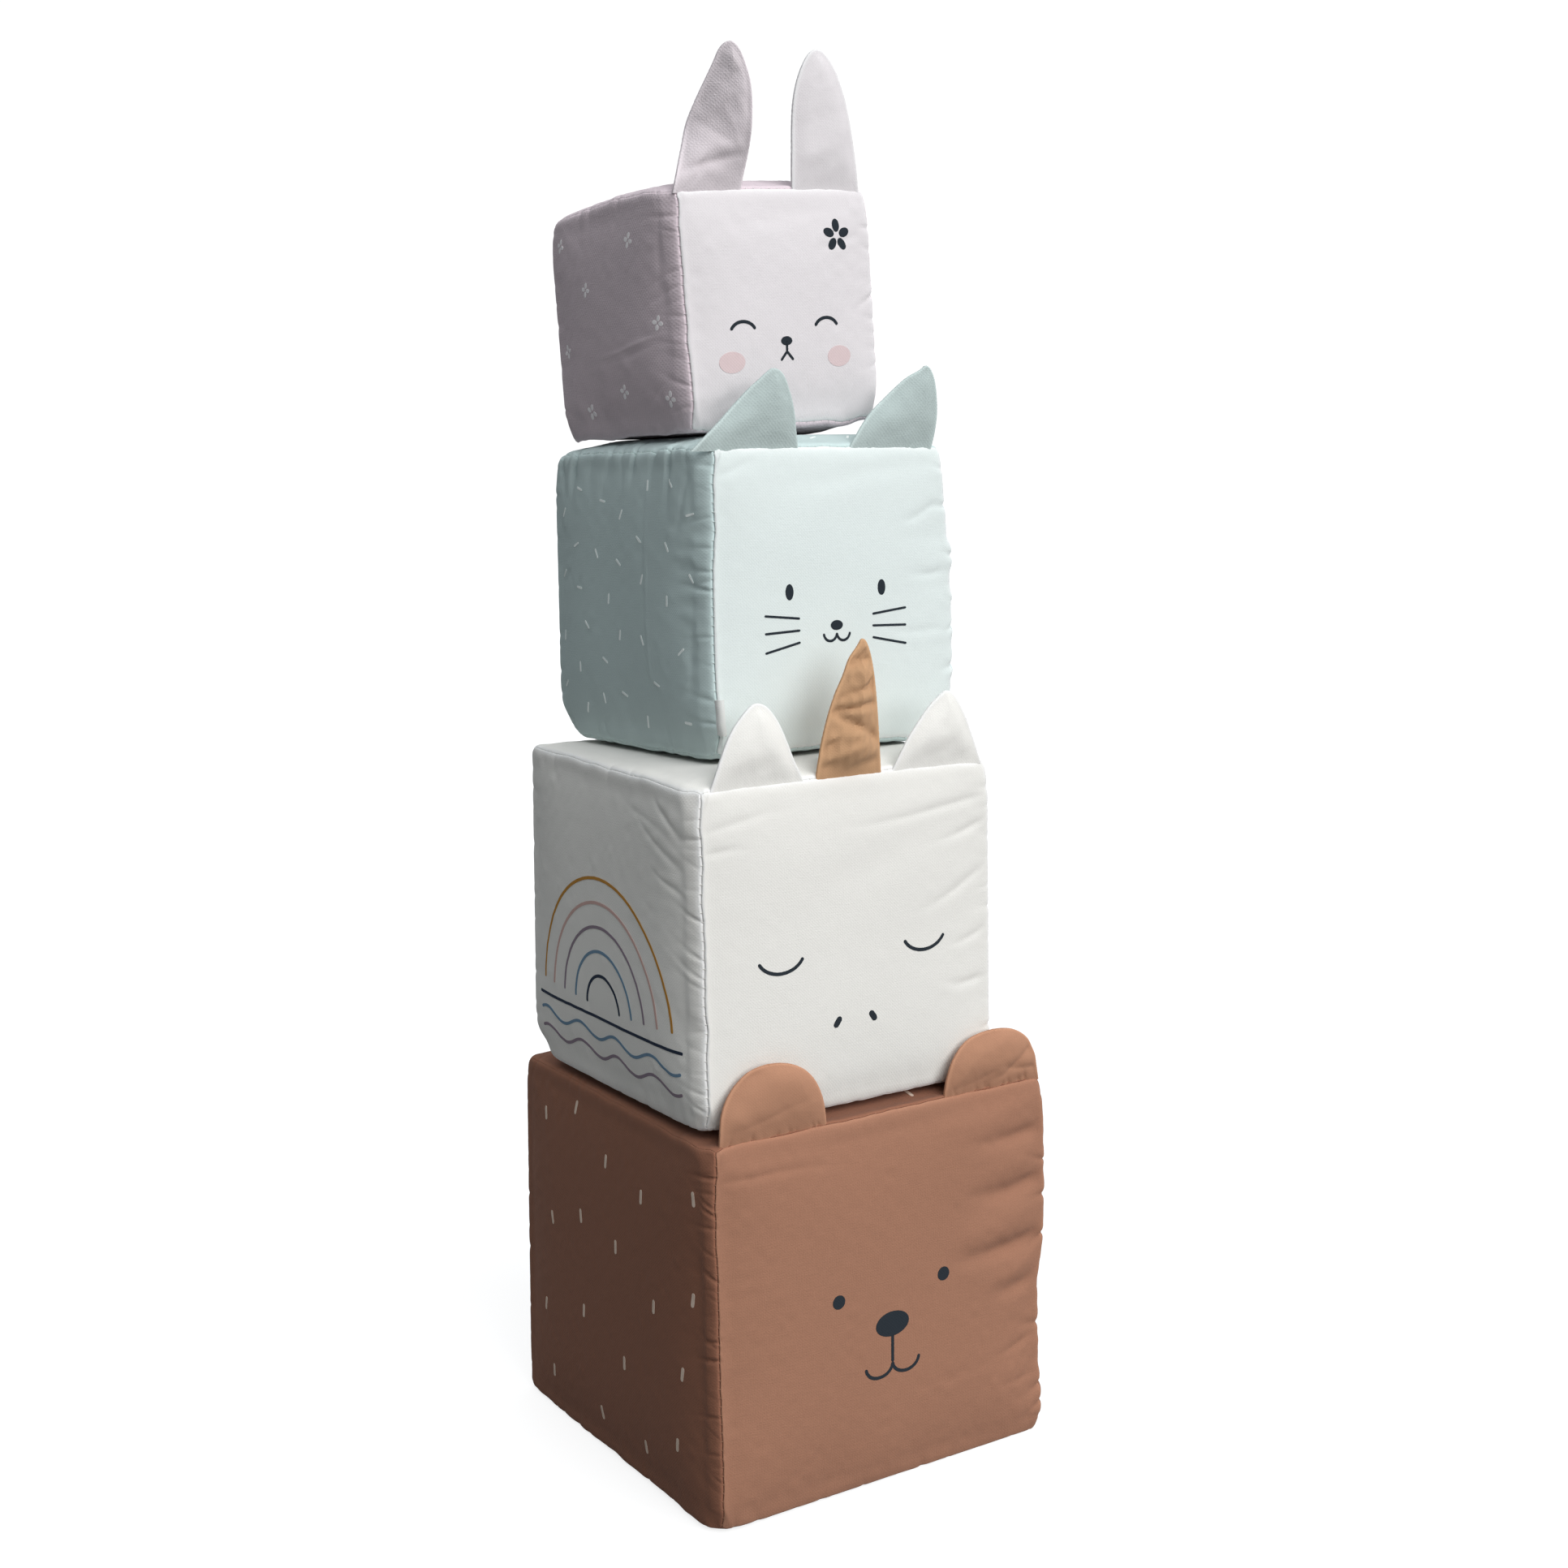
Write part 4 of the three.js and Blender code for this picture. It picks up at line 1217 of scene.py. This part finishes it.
def draw_bear_face(art):
    for side in (-1, 1):
        art.disc("ink", 22 * side, 5, 5)
        art.arc("ink", 5.6 * side, -22, 5.6, 180, 360, 1.2, 0.8)
    art.disc("ink", 0, -8, 14, 9)
    art.line("ink", [(0, -12), (0, -22)], 1.2)


def draw_unicorn_face(art):
    for side in (-1, 1):
        art.arc("ink", 29 * side, 0, 9, 200, 340, 1.2, 0.75)
        art.line("ink", [(6 * side, -25), (8.4 * side, -28.4)], 2.2)


def draw_cat_face(art):
    for side in (-1, 1):
        art.disc("ink", 19 * side, 2, 3.2, 5.4)
        art.arc("ink", 2.7 * side, -12.6, 2.7, 180, 360, 0.9)
        for rise, tilt in ((-7, 1.5), (-11, -0.5), (-15, -3)):
            art.line("ink", [(15 * side, rise), (29 * side, rise + tilt)], 0.8)
    art.disc("ink", 0, -10, 5, 3.4)


def draw_bunny_face(art):
    for side in (-1, 1):
        art.arc("ink", 17 * side, -9, 5, 20, 160, 1.1, 0.8)
        art.disc("blush", 22 * side, -18, 10, 7)
        art.line("ink", [(0, -15.5), (2.6 * side, -18.4)], 0.9)
    art.disc("ink", 0, -12, 4.6, 3)
    art.line("ink", [(0, -12), (0, -15.5)], 0.9)
    art.petals("ink", 24, 22, 5, 90, 3.4, 3, 4.4, -90)


def draw_sunrise(art):
    """A rising sun of thin rings over a horizon line and two rows of waves."""
    for ink, radius in (("ochre", 46), ("pink", 37.5), ("mauve", 29), ("blue", 20.5), ("navy", 12)):
        art.arc(ink, 0, -28, radius, 3, 177)
    art.line("navy", [(-51, -31.5), (51, -31.5)])
    along = np.linspace(-50, 50, 160)
    for ink, low in (("blue", -38), ("mauve", -45)):
        art.line(ink, np.stack([along, low + 1.8 * np.sin(along / 4.1)], 1))


def scattered(panel, gap, margin=7.0, tries=1500):
    """Places spread over a panel at random, none nearer than a gap to another."""
    source = dice(panel.block.name, panel.face, "scatter")
    limits = panel.x[-1] - margin, panel.y[-1] - margin
    places = []
    for _ in range(tries):
        place = np.array([source.uniform(-limit, limit) for limit in limits])
        if all(np.linalg.norm(place - other) > gap for other in places):
            places.append(place)
    return places, source


def draw_dashes(art):
    places, source = scattered(art.panel, 24)
    for x, y in places:
        lean = source.uniform(-0.5, 0.5)
        art.line("bear_motif", [(x - lean, y - 2.6), (x + lean, y + 2.6)], 1.5)


def draw_sprinkles(art):
    places, source = scattered(art.panel, 13.5)
    for x, y in places:
        turn = source.uniform(0, math.pi)
        step = np.array([math.cos(turn), math.sin(turn)]) * 1.9
        art.line("cat_motif", [(x, y) - step, (x, y) + step], 0.8)


def draw_blossoms(art):
    places, source = scattered(art.panel, 24)
    for x, y in places:
        art.petals("bunny_motif", x, y, 4, source.uniform(0, 90), 1.5, 2, 1.4)


FACE_PRINTS = {
    "bear": draw_bear_face, "unicorn": draw_unicorn_face, "cat": draw_cat_face, "bunny": draw_bunny_face,
}
SIDE_PRINTS = {"bear": draw_dashes, "unicorn": draw_sunrise, "cat": draw_sprinkles, "bunny": draw_blossoms}
MOST_SIDES = ("left", "right", "back", "top")
PRINTED_SIDES = {"unicorn": ("left", "right")}


def make_prints(name):
    """The print on the front of a block and the motifs on its sides."""
    draws = {"front": FACE_PRINTS[name]}
    draws |= {face: SIDE_PRINTS[name] for face in PRINTED_SIDES.get(name, MOST_SIDES)}
    for face, draw in draws.items():
        art = Print(panels[name, face])
        draw(art)
        art.finish()


# The label

LABEL_FOOT, LABEL_REACH, LABEL_HEIGHT, LABEL_CLOTH = 5.5, 3.8, 11.5, 0.28
LABEL_ROOT = 1.1


def make_label():
    """A small blank tape, folded double, sewn into the cat's front left seam and curled forward."""
    panel = panels["cat", "front"]
    turns = np.linspace(-math.pi / 2, math.pi / 2, 9)
    leaf = np.linspace(-LABEL_ROOT, LABEL_REACH, 14)
    across = np.concatenate([leaf, LABEL_REACH + 0.3 * np.cos(turns), leaf[::-1]])
    lift = np.concatenate([np.full(14, 0.2), 0.5 + 0.3 * np.sin(turns), np.full(14, 0.8)])
    lift = lift + 0.5 * np.sin(0.8 * math.pi * np.clip(across / LABEL_REACH, 0, 1)) + np.clip(across, -9, 0)
    way = np.stack([np.gradient(across), np.gradient(lift)])
    way = way / np.linalg.norm(way, axis=0) * LABEL_CLOTH / 2
    rows = np.linspace(LABEL_FOOT, LABEL_FOOT + LABEL_HEIGHT, 12)[:, None] - panel.y[-1]
    rows = np.repeat(rows, len(across), 1)
    layers = []
    for side in (1, -1):
        x = np.maximum(across + side * way[1], 0.03) - panel.x[-1]
        layers.append(panel.at(np.repeat(x[None], len(rows), 0), rows, (lift - side * way[0])[:, None]))
    shape = Shape()
    length = np.repeat(np.linspace(0, 2 * (LABEL_ROOT + LABEL_REACH), len(across))[None], len(rows), 0)
    add_sheet(shape, *layers, np.stack([length, rows], -1) * MM)
    piece = shape.piece("cat_label", MATERIALS["label"], "cat_block")
    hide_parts("cat_label_tag")


# Ears and the horn

RIM_LEAST, RIM_ROUND, RIM_WIDTH = 0.25, 0.4, 0.7
PUFF_REACH, PUFF_RISE = 2.2, (-1, 11)
PLAIN_CRUMPLE = (0.08, 16)
BACK_FOLD_SHARE = -0.35
FLAP_SIDES = {"front": -1, "back": 1}
FLAP_SLOTS = {"unicorn_horn": "horn", "cat_left_ear": "cat_ear", "cat_right_ear": "cat_ear"}
# The bear's ears take a paler copy of the bear cloth: painted light, for their faces tilt up towards the
# light
SLOT_LOOKS = {"bear": "bear_ear", "unicorn": "unicorn_ear"}
# The bunny's left ear takes a darker copy of its cloth: painted shade, for that ear is turned away from the
# light
FLAP_LOOKS = {"bunny_left_ear": "bunny_ear"}

def flap_joint(name):
    return next(joint for joint in frame["joints"] if joint["name"] == f"{name}_fold")


class Flap:
    """A sewn flap in its own plane: x across, z up from its joint, with the cloth either side of it."""

    def __init__(self, name):
        self.name = name
        block, self.height, self.loft, self.turn, self.tip, self.left, self.right = FLAPS[name]
        self.block = blocks[block]
        self.pivot = np.array(flap_joint(name)["pos_m"]) / MM
        self.width = max(right - left for left, right in zip(self.left, self.right))

    def rows(self, inset=0.0, root=FLAP_ROOT, count=70):
        """The height, left end and right end of each row, from the seam to the tip."""
        full = self.height - FLAP_ROOT
        first = (root - FLAP_ROOT) / full
        last = 0.9998 - inset / full
        share = np.sin(np.linspace(math.asin(first), math.asin(last), count))
        knots = np.sqrt(1 - np.append(FLAP_SHARES, 1)[::-1])
        left, right = (
            smooth_line(np.sqrt(1 - share), knots, np.append(side, self.tip)[::-1])
            for side in (self.left, self.right)
        )
        middle, half = (left + right) / 2, (right - left) / 2
        half = np.maximum(half - inset, 0.05)
        return FLAP_ROOT + full * share, middle - half, middle + half

    def grid(self, inset=0.0, root=FLAP_ROOT, rows=70, columns=91):
        height, left, right = self.rows(inset, root, rows)
        across = (1 - np.cos(np.linspace(0, math.pi, columns))) / 2
        across = 0.65 * across + 0.35 * np.linspace(0, 1, columns)
        x = left[:, None] + (right - left)[:, None] * across
        return x, np.repeat(height[:, None], columns, 1)

    def outline(self):
        height, left, right = self.rows(count=240)
        return np.concatenate([np.stack([left, height], 1), np.stack([right[::-1], height[::-1]], 1)])

    def area(self):
        x, z = self.outline().T
        return abs((x * np.roll(z, -1) - np.roll(x, -1) * z).sum()) / 2

    def from_edge(self, x, z):
        outline = self.outline()
        places = np.stack([x, z], -1)[:, :, None]
        return np.linalg.norm(places - outline[None, None], axis=-1).min(-1)

    def thickness(self, x, z, away):
        """Half the thickness: a rolled rim, then the stuffing, thin where it enters the seam."""
        rim = RIM_LEAST + RIM_ROUND * np.sqrt(1 - (1 - np.clip(away / RIM_WIDTH, 0, 1)) ** 2)
        puff = 1 - np.exp(-((away / (PUFF_REACH + self.loft)) ** 2))
        return rim + self.loft * puff * smooth(z, *PUFF_RISE)

    def folds(self, x, z, way):
        """The folds of one side. Where the front is dented the back swells a little."""
        depth, length = CRUMPLED.get(self.name, PLAIN_CRUMPLE)
        crumple = depth * crumpled(x, z, dice(self.name, "crumple"), length)
        folds = fold_height(x, z, FLAP_FOLDS[self.name]) + crumple
        return folds * smooth(z, 0.5, 5) * (1 if way < 0 else BACK_FOLD_SHARE)

    def tucks(self, x, z, side):
        source = dice(self.name, side, "tucks")
        pitch, width, reach = FLAP_TUCKS
        depth = TUCK_DEPTHS.get(self.block.name, PLAIN_TUCK)
        height = np.zeros_like(x)
        for place in np.arange(-self.width / 2, self.width / 2, pitch):
            middle = place + pitch * source.uniform(-0.4, 0.4)
            off = (x - middle - source.uniform(-0.4, 0.4) * z) / (width + 0.1 * np.clip(z, 0, None))
            fall = np.exp(-((np.clip(z, 0, None) / (reach * source.uniform(0.4, 1.3))) ** 1.5))
            height -= depth * source.uniform(0.2, 1.3) * fall * crease(off)
        return height

    def middle(self, x, z):
        """How far behind the joint's plane the middle of the flap lies."""
        source = dice(self.name, "lie")
        sway = 0.5 * waves(x, z, source, 45, 6) - math.tan(math.radians(self.turn)) * (x - 0.5 * self.tip)
        set_in, fall = SET_IN.get(self.block.name, PLAIN_SET_IN)
        return set_in * np.exp(-np.clip(z - FLAP_ROOT, 0, None) / fall) + sway * smooth(z, 0, 22)

    def placed(self, x, z, middle, off=0.0):
        """Points in the shared frame. What lies further back is moved along the line of sight, so that
        the flap keeps the outline that it has from the front left."""
        sight = self.pivot - np.array(CAMERA_PLACE)
        x = x + middle * sight[0] / sight[1]
        z = z + middle * sight[2] / sight[1] * smooth(z, 0, 8)
        return self.pivot + np.stack([x, middle + off, z], -1) @ self.block.axes.T


def make_flap_cloth(flap, side, way):
    x, z = flap.grid()
    away = flap.from_edge(x, z)
    half = flap.thickness(x, z, away)
    settled = smooth(away, 0, 2.5)
    source = dice(flap.name, side)
    wrinkle = flap.folds(x, z, way) + flap.tucks(x, z, side) + 0.12 * waves(x, z, source, 14)
    outer = np.maximum(half + settled * wrinkle, 0.25)
    inner = np.maximum(outer - FLAP_CLOTH, 0.06)
    middle = flap.middle(x, z)
    grids = [flap.placed(x, z, middle, way * depth) for depth in (outer, inner)]
    places = np.stack([-way * x, z], -1) * MM
    # The rim of a flap is painted paler too: partly wear, partly a painted highlight
    edge = np.exp(-((away / 0.8) ** 2))
    if way > 0:
        grids = [grid[:, ::-1] for grid in grids]
        places, edge = places[:, ::-1], edge[:, ::-1]
    shape = Shape()
    add_sheet(shape, *grids, places, edge, 3)
    slot = FLAP_SLOTS.get(flap.name, flap.block.name)
    look = FLAP_LOOKS.get(flap.name, SLOT_LOOKS.get(slot, slot))
    piece = shape.piece(f"{flap.name}_{side}_cloth", MATERIALS[look])
    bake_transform(piece)
    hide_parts(f"{flap.name}_{side}")
    area = flap.area() * MM * MM


def make_stuffing(flap):
    x, z = flap.grid(inset=2.2, root=7, rows=30, columns=25)
    away = flap.from_edge(x, z)
    middle = flap.middle(x, z)
    depths = []
    for way in (-1, 1):
        deep = flap.thickness(x, z, away) + np.minimum(flap.folds(x, z, way), 0) - FLAP_CLOTH - 0.6
        depths.append(way * (np.maximum(deep, 0.1) * smooth(away, 1.2, 4) + 0.1))
    shape = Shape()
    add_sheet(shape, *(flap.placed(x, z, middle, depth) for depth in depths), np.stack([x, z], -1) * MM)
    piece = shape.piece(f"{flap.name}_stuffing", MATERIALS["wadding"], flap.name)
    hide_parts(f"{flap.name}_wadding")


# The stage

CAMERA_AZIMUTH, CAMERA_ELEVATION, CAMERA_ROLL = -31.985, 8.62, -1.254
CAMERA_LENS, CAMERA_SENSOR, CAMERA_CLIP = 44.98, 36, (0.01, 50)


def way_towards(azimuth, elevation):
    """The direction of a place in the sky, from angles in degrees. The front faces azimuth 0."""
    azimuth, elevation = math.radians(azimuth), math.radians(elevation)
    level = math.cos(elevation)
    return Vector((math.sin(azimuth) * level, -math.cos(azimuth) * level, math.sin(elevation)))


def make_camera():
    data = bpy.data.cameras.new("camera")
    data.sensor_width, data.lens = CAMERA_SENSOR, CAMERA_LENS
    data.clip_start, data.clip_end = CAMERA_CLIP
    camera = linked("camera", data)
    roll = math.radians(CAMERA_ROLL)
    back = way_towards(CAMERA_AZIMUTH, CAMERA_ELEVATION)
    right = Vector((0, 0, 1)).cross(back).normalized()
    up = back.cross(right)
    across = math.cos(roll) * right + math.sin(roll) * up
    upright = -math.sin(roll) * right + math.cos(roll) * up
    place = Vector(CAMERA_PLACE) * MM
    camera.matrix_world = Matrix((
        (across.x, upright.x, back.x, place.x), (across.y, upright.y, back.y, place.y),
        (across.z, upright.z, back.z, place.z), (0, 0, 0, 1),
    ))
    bpy.context.scene.camera = camera


def sun(name, azimuth, elevation, spread, strength):
    """A soft light from far away, so that the floor is lit evenly."""
    data = bpy.data.lights.new(name, "SUN")
    data.angle, data.energy = math.radians(spread), strength
    way = way_towards(azimuth, elevation)
    linked(name, data).rotation_euler = (-way).to_track_quat("-Z", "Y").to_euler()


def seen_directly(tree):
    path = node(tree, "ShaderNodeLightPath")
    seen = math_node(tree, "MAXIMUM", path.outputs["Is Camera Ray"], path.outputs["Is Glossy Ray"])
    return math_node(tree, "MAXIMUM", seen, path.outputs["Is Transmission Ray"])


FLOOR_HALF_METRES = 30
FLOOR_LIT, FLOOR_SHOWN, FLOOR_GLOW = 0.18, 0.3, 0.8

# The light of the sky: its colour, how much brighter it is overhead and how fast that fades, and its least
SKY_COLOUR = (0.9, 0.96, 1, 1)
SKY_OVERHEAD, SKY_FALL, SKY_LEAST, SKY_SHOWN = 1.15, 3.0, 0.1, 1.05


def make_floor():
    """A pale floor. The camera sees it white but for a faint shadow, and it gives back little light."""
    mesh = bpy.data.meshes.new("floor")
    half = FLOOR_HALF_METRES
    corners = [(-half, -half, 0), (half, -half, 0), (half, half, 0), (-half, half, 0)]
    mesh.from_pydata(corners, [], [(0, 1, 2, 3)])
    material, tree = new_material("pale_floor")
    tree.nodes.clear()
    lit = node(tree, "ShaderNodeBsdfDiffuse", Color=grey(FLOOR_LIT))
    shown = node(tree, "ShaderNodeBsdfDiffuse", Color=grey(FLOOR_SHOWN))
    glow = node(tree, "ShaderNodeEmission", Color=grey(1), Strength=FLOOR_GLOW)
    bright = node(tree, "ShaderNodeAddShader", i0=shown.outputs[0], i1=glow.outputs[0])
    mix = node(tree, "ShaderNodeMixShader", i0=seen_directly(tree), i1=lit.outputs[0], i2=bright.outputs[0])
    node(tree, "ShaderNodeOutputMaterial", Surface=mix.outputs[0])
    mesh.materials.append(material)
    linked("floor", mesh)


def make_world():
    """A sky that is brightest overhead. The camera sees it white."""
    world = bpy.data.worlds.new("studio")
    bpy.context.scene.world = world
    world.use_nodes = True
    tree = world.node_tree
    tree.nodes.clear()
    way = node(tree, "ShaderNodeSeparateXYZ", Vector=node(tree, "ShaderNodeTexCoord").outputs["Generated"])
    high = math_node(tree, "POWER", math_node(tree, "MAXIMUM", way.outputs["Z"], 0.0), SKY_FALL)
    level = math_node(tree, "MULTIPLY_ADD", high, SKY_OVERHEAD, SKY_LEAST)
    dim = node(tree, "ShaderNodeBackground", Color=SKY_COLOUR, Strength=level)
    white = node(tree, "ShaderNodeBackground", Color=grey(1), Strength=SKY_SHOWN)
    mix = node(tree, "ShaderNodeMixShader", i0=seen_directly(tree), i1=dim.outputs[0], i2=white.outputs[0])
    node(tree, "ShaderNodeOutputWorld", Surface=mix.outputs[0])


# Everything together
bpy.context.scene.view_settings.view_transform = "Standard"
blocks = placed_blocks()
panels = {(name, face): Panel(block, face) for name, block in blocks.items() for face in FACES}
for block in blocks.values():
    settle_cover(block)
for block in blocks.values():
    make_foam(block)
    make_allowance(block)
    make_stitches(block)
    make_prints(block.name)
for panel in panels.values():
    make_panel(panel)
make_label()
for name in FLAPS:
    flap = Flap(name)
    make_stuffing(flap)
    for side, way in FLAP_SIDES.items():
        make_flap_cloth(flap, side, way)
make_camera()
make_floor()
make_world()
sun("key", azimuth=11, elevation=34, spread=60, strength=2.95)
sun("back_fill", azimuth=150, elevation=30, spread=60, strength=0.5)
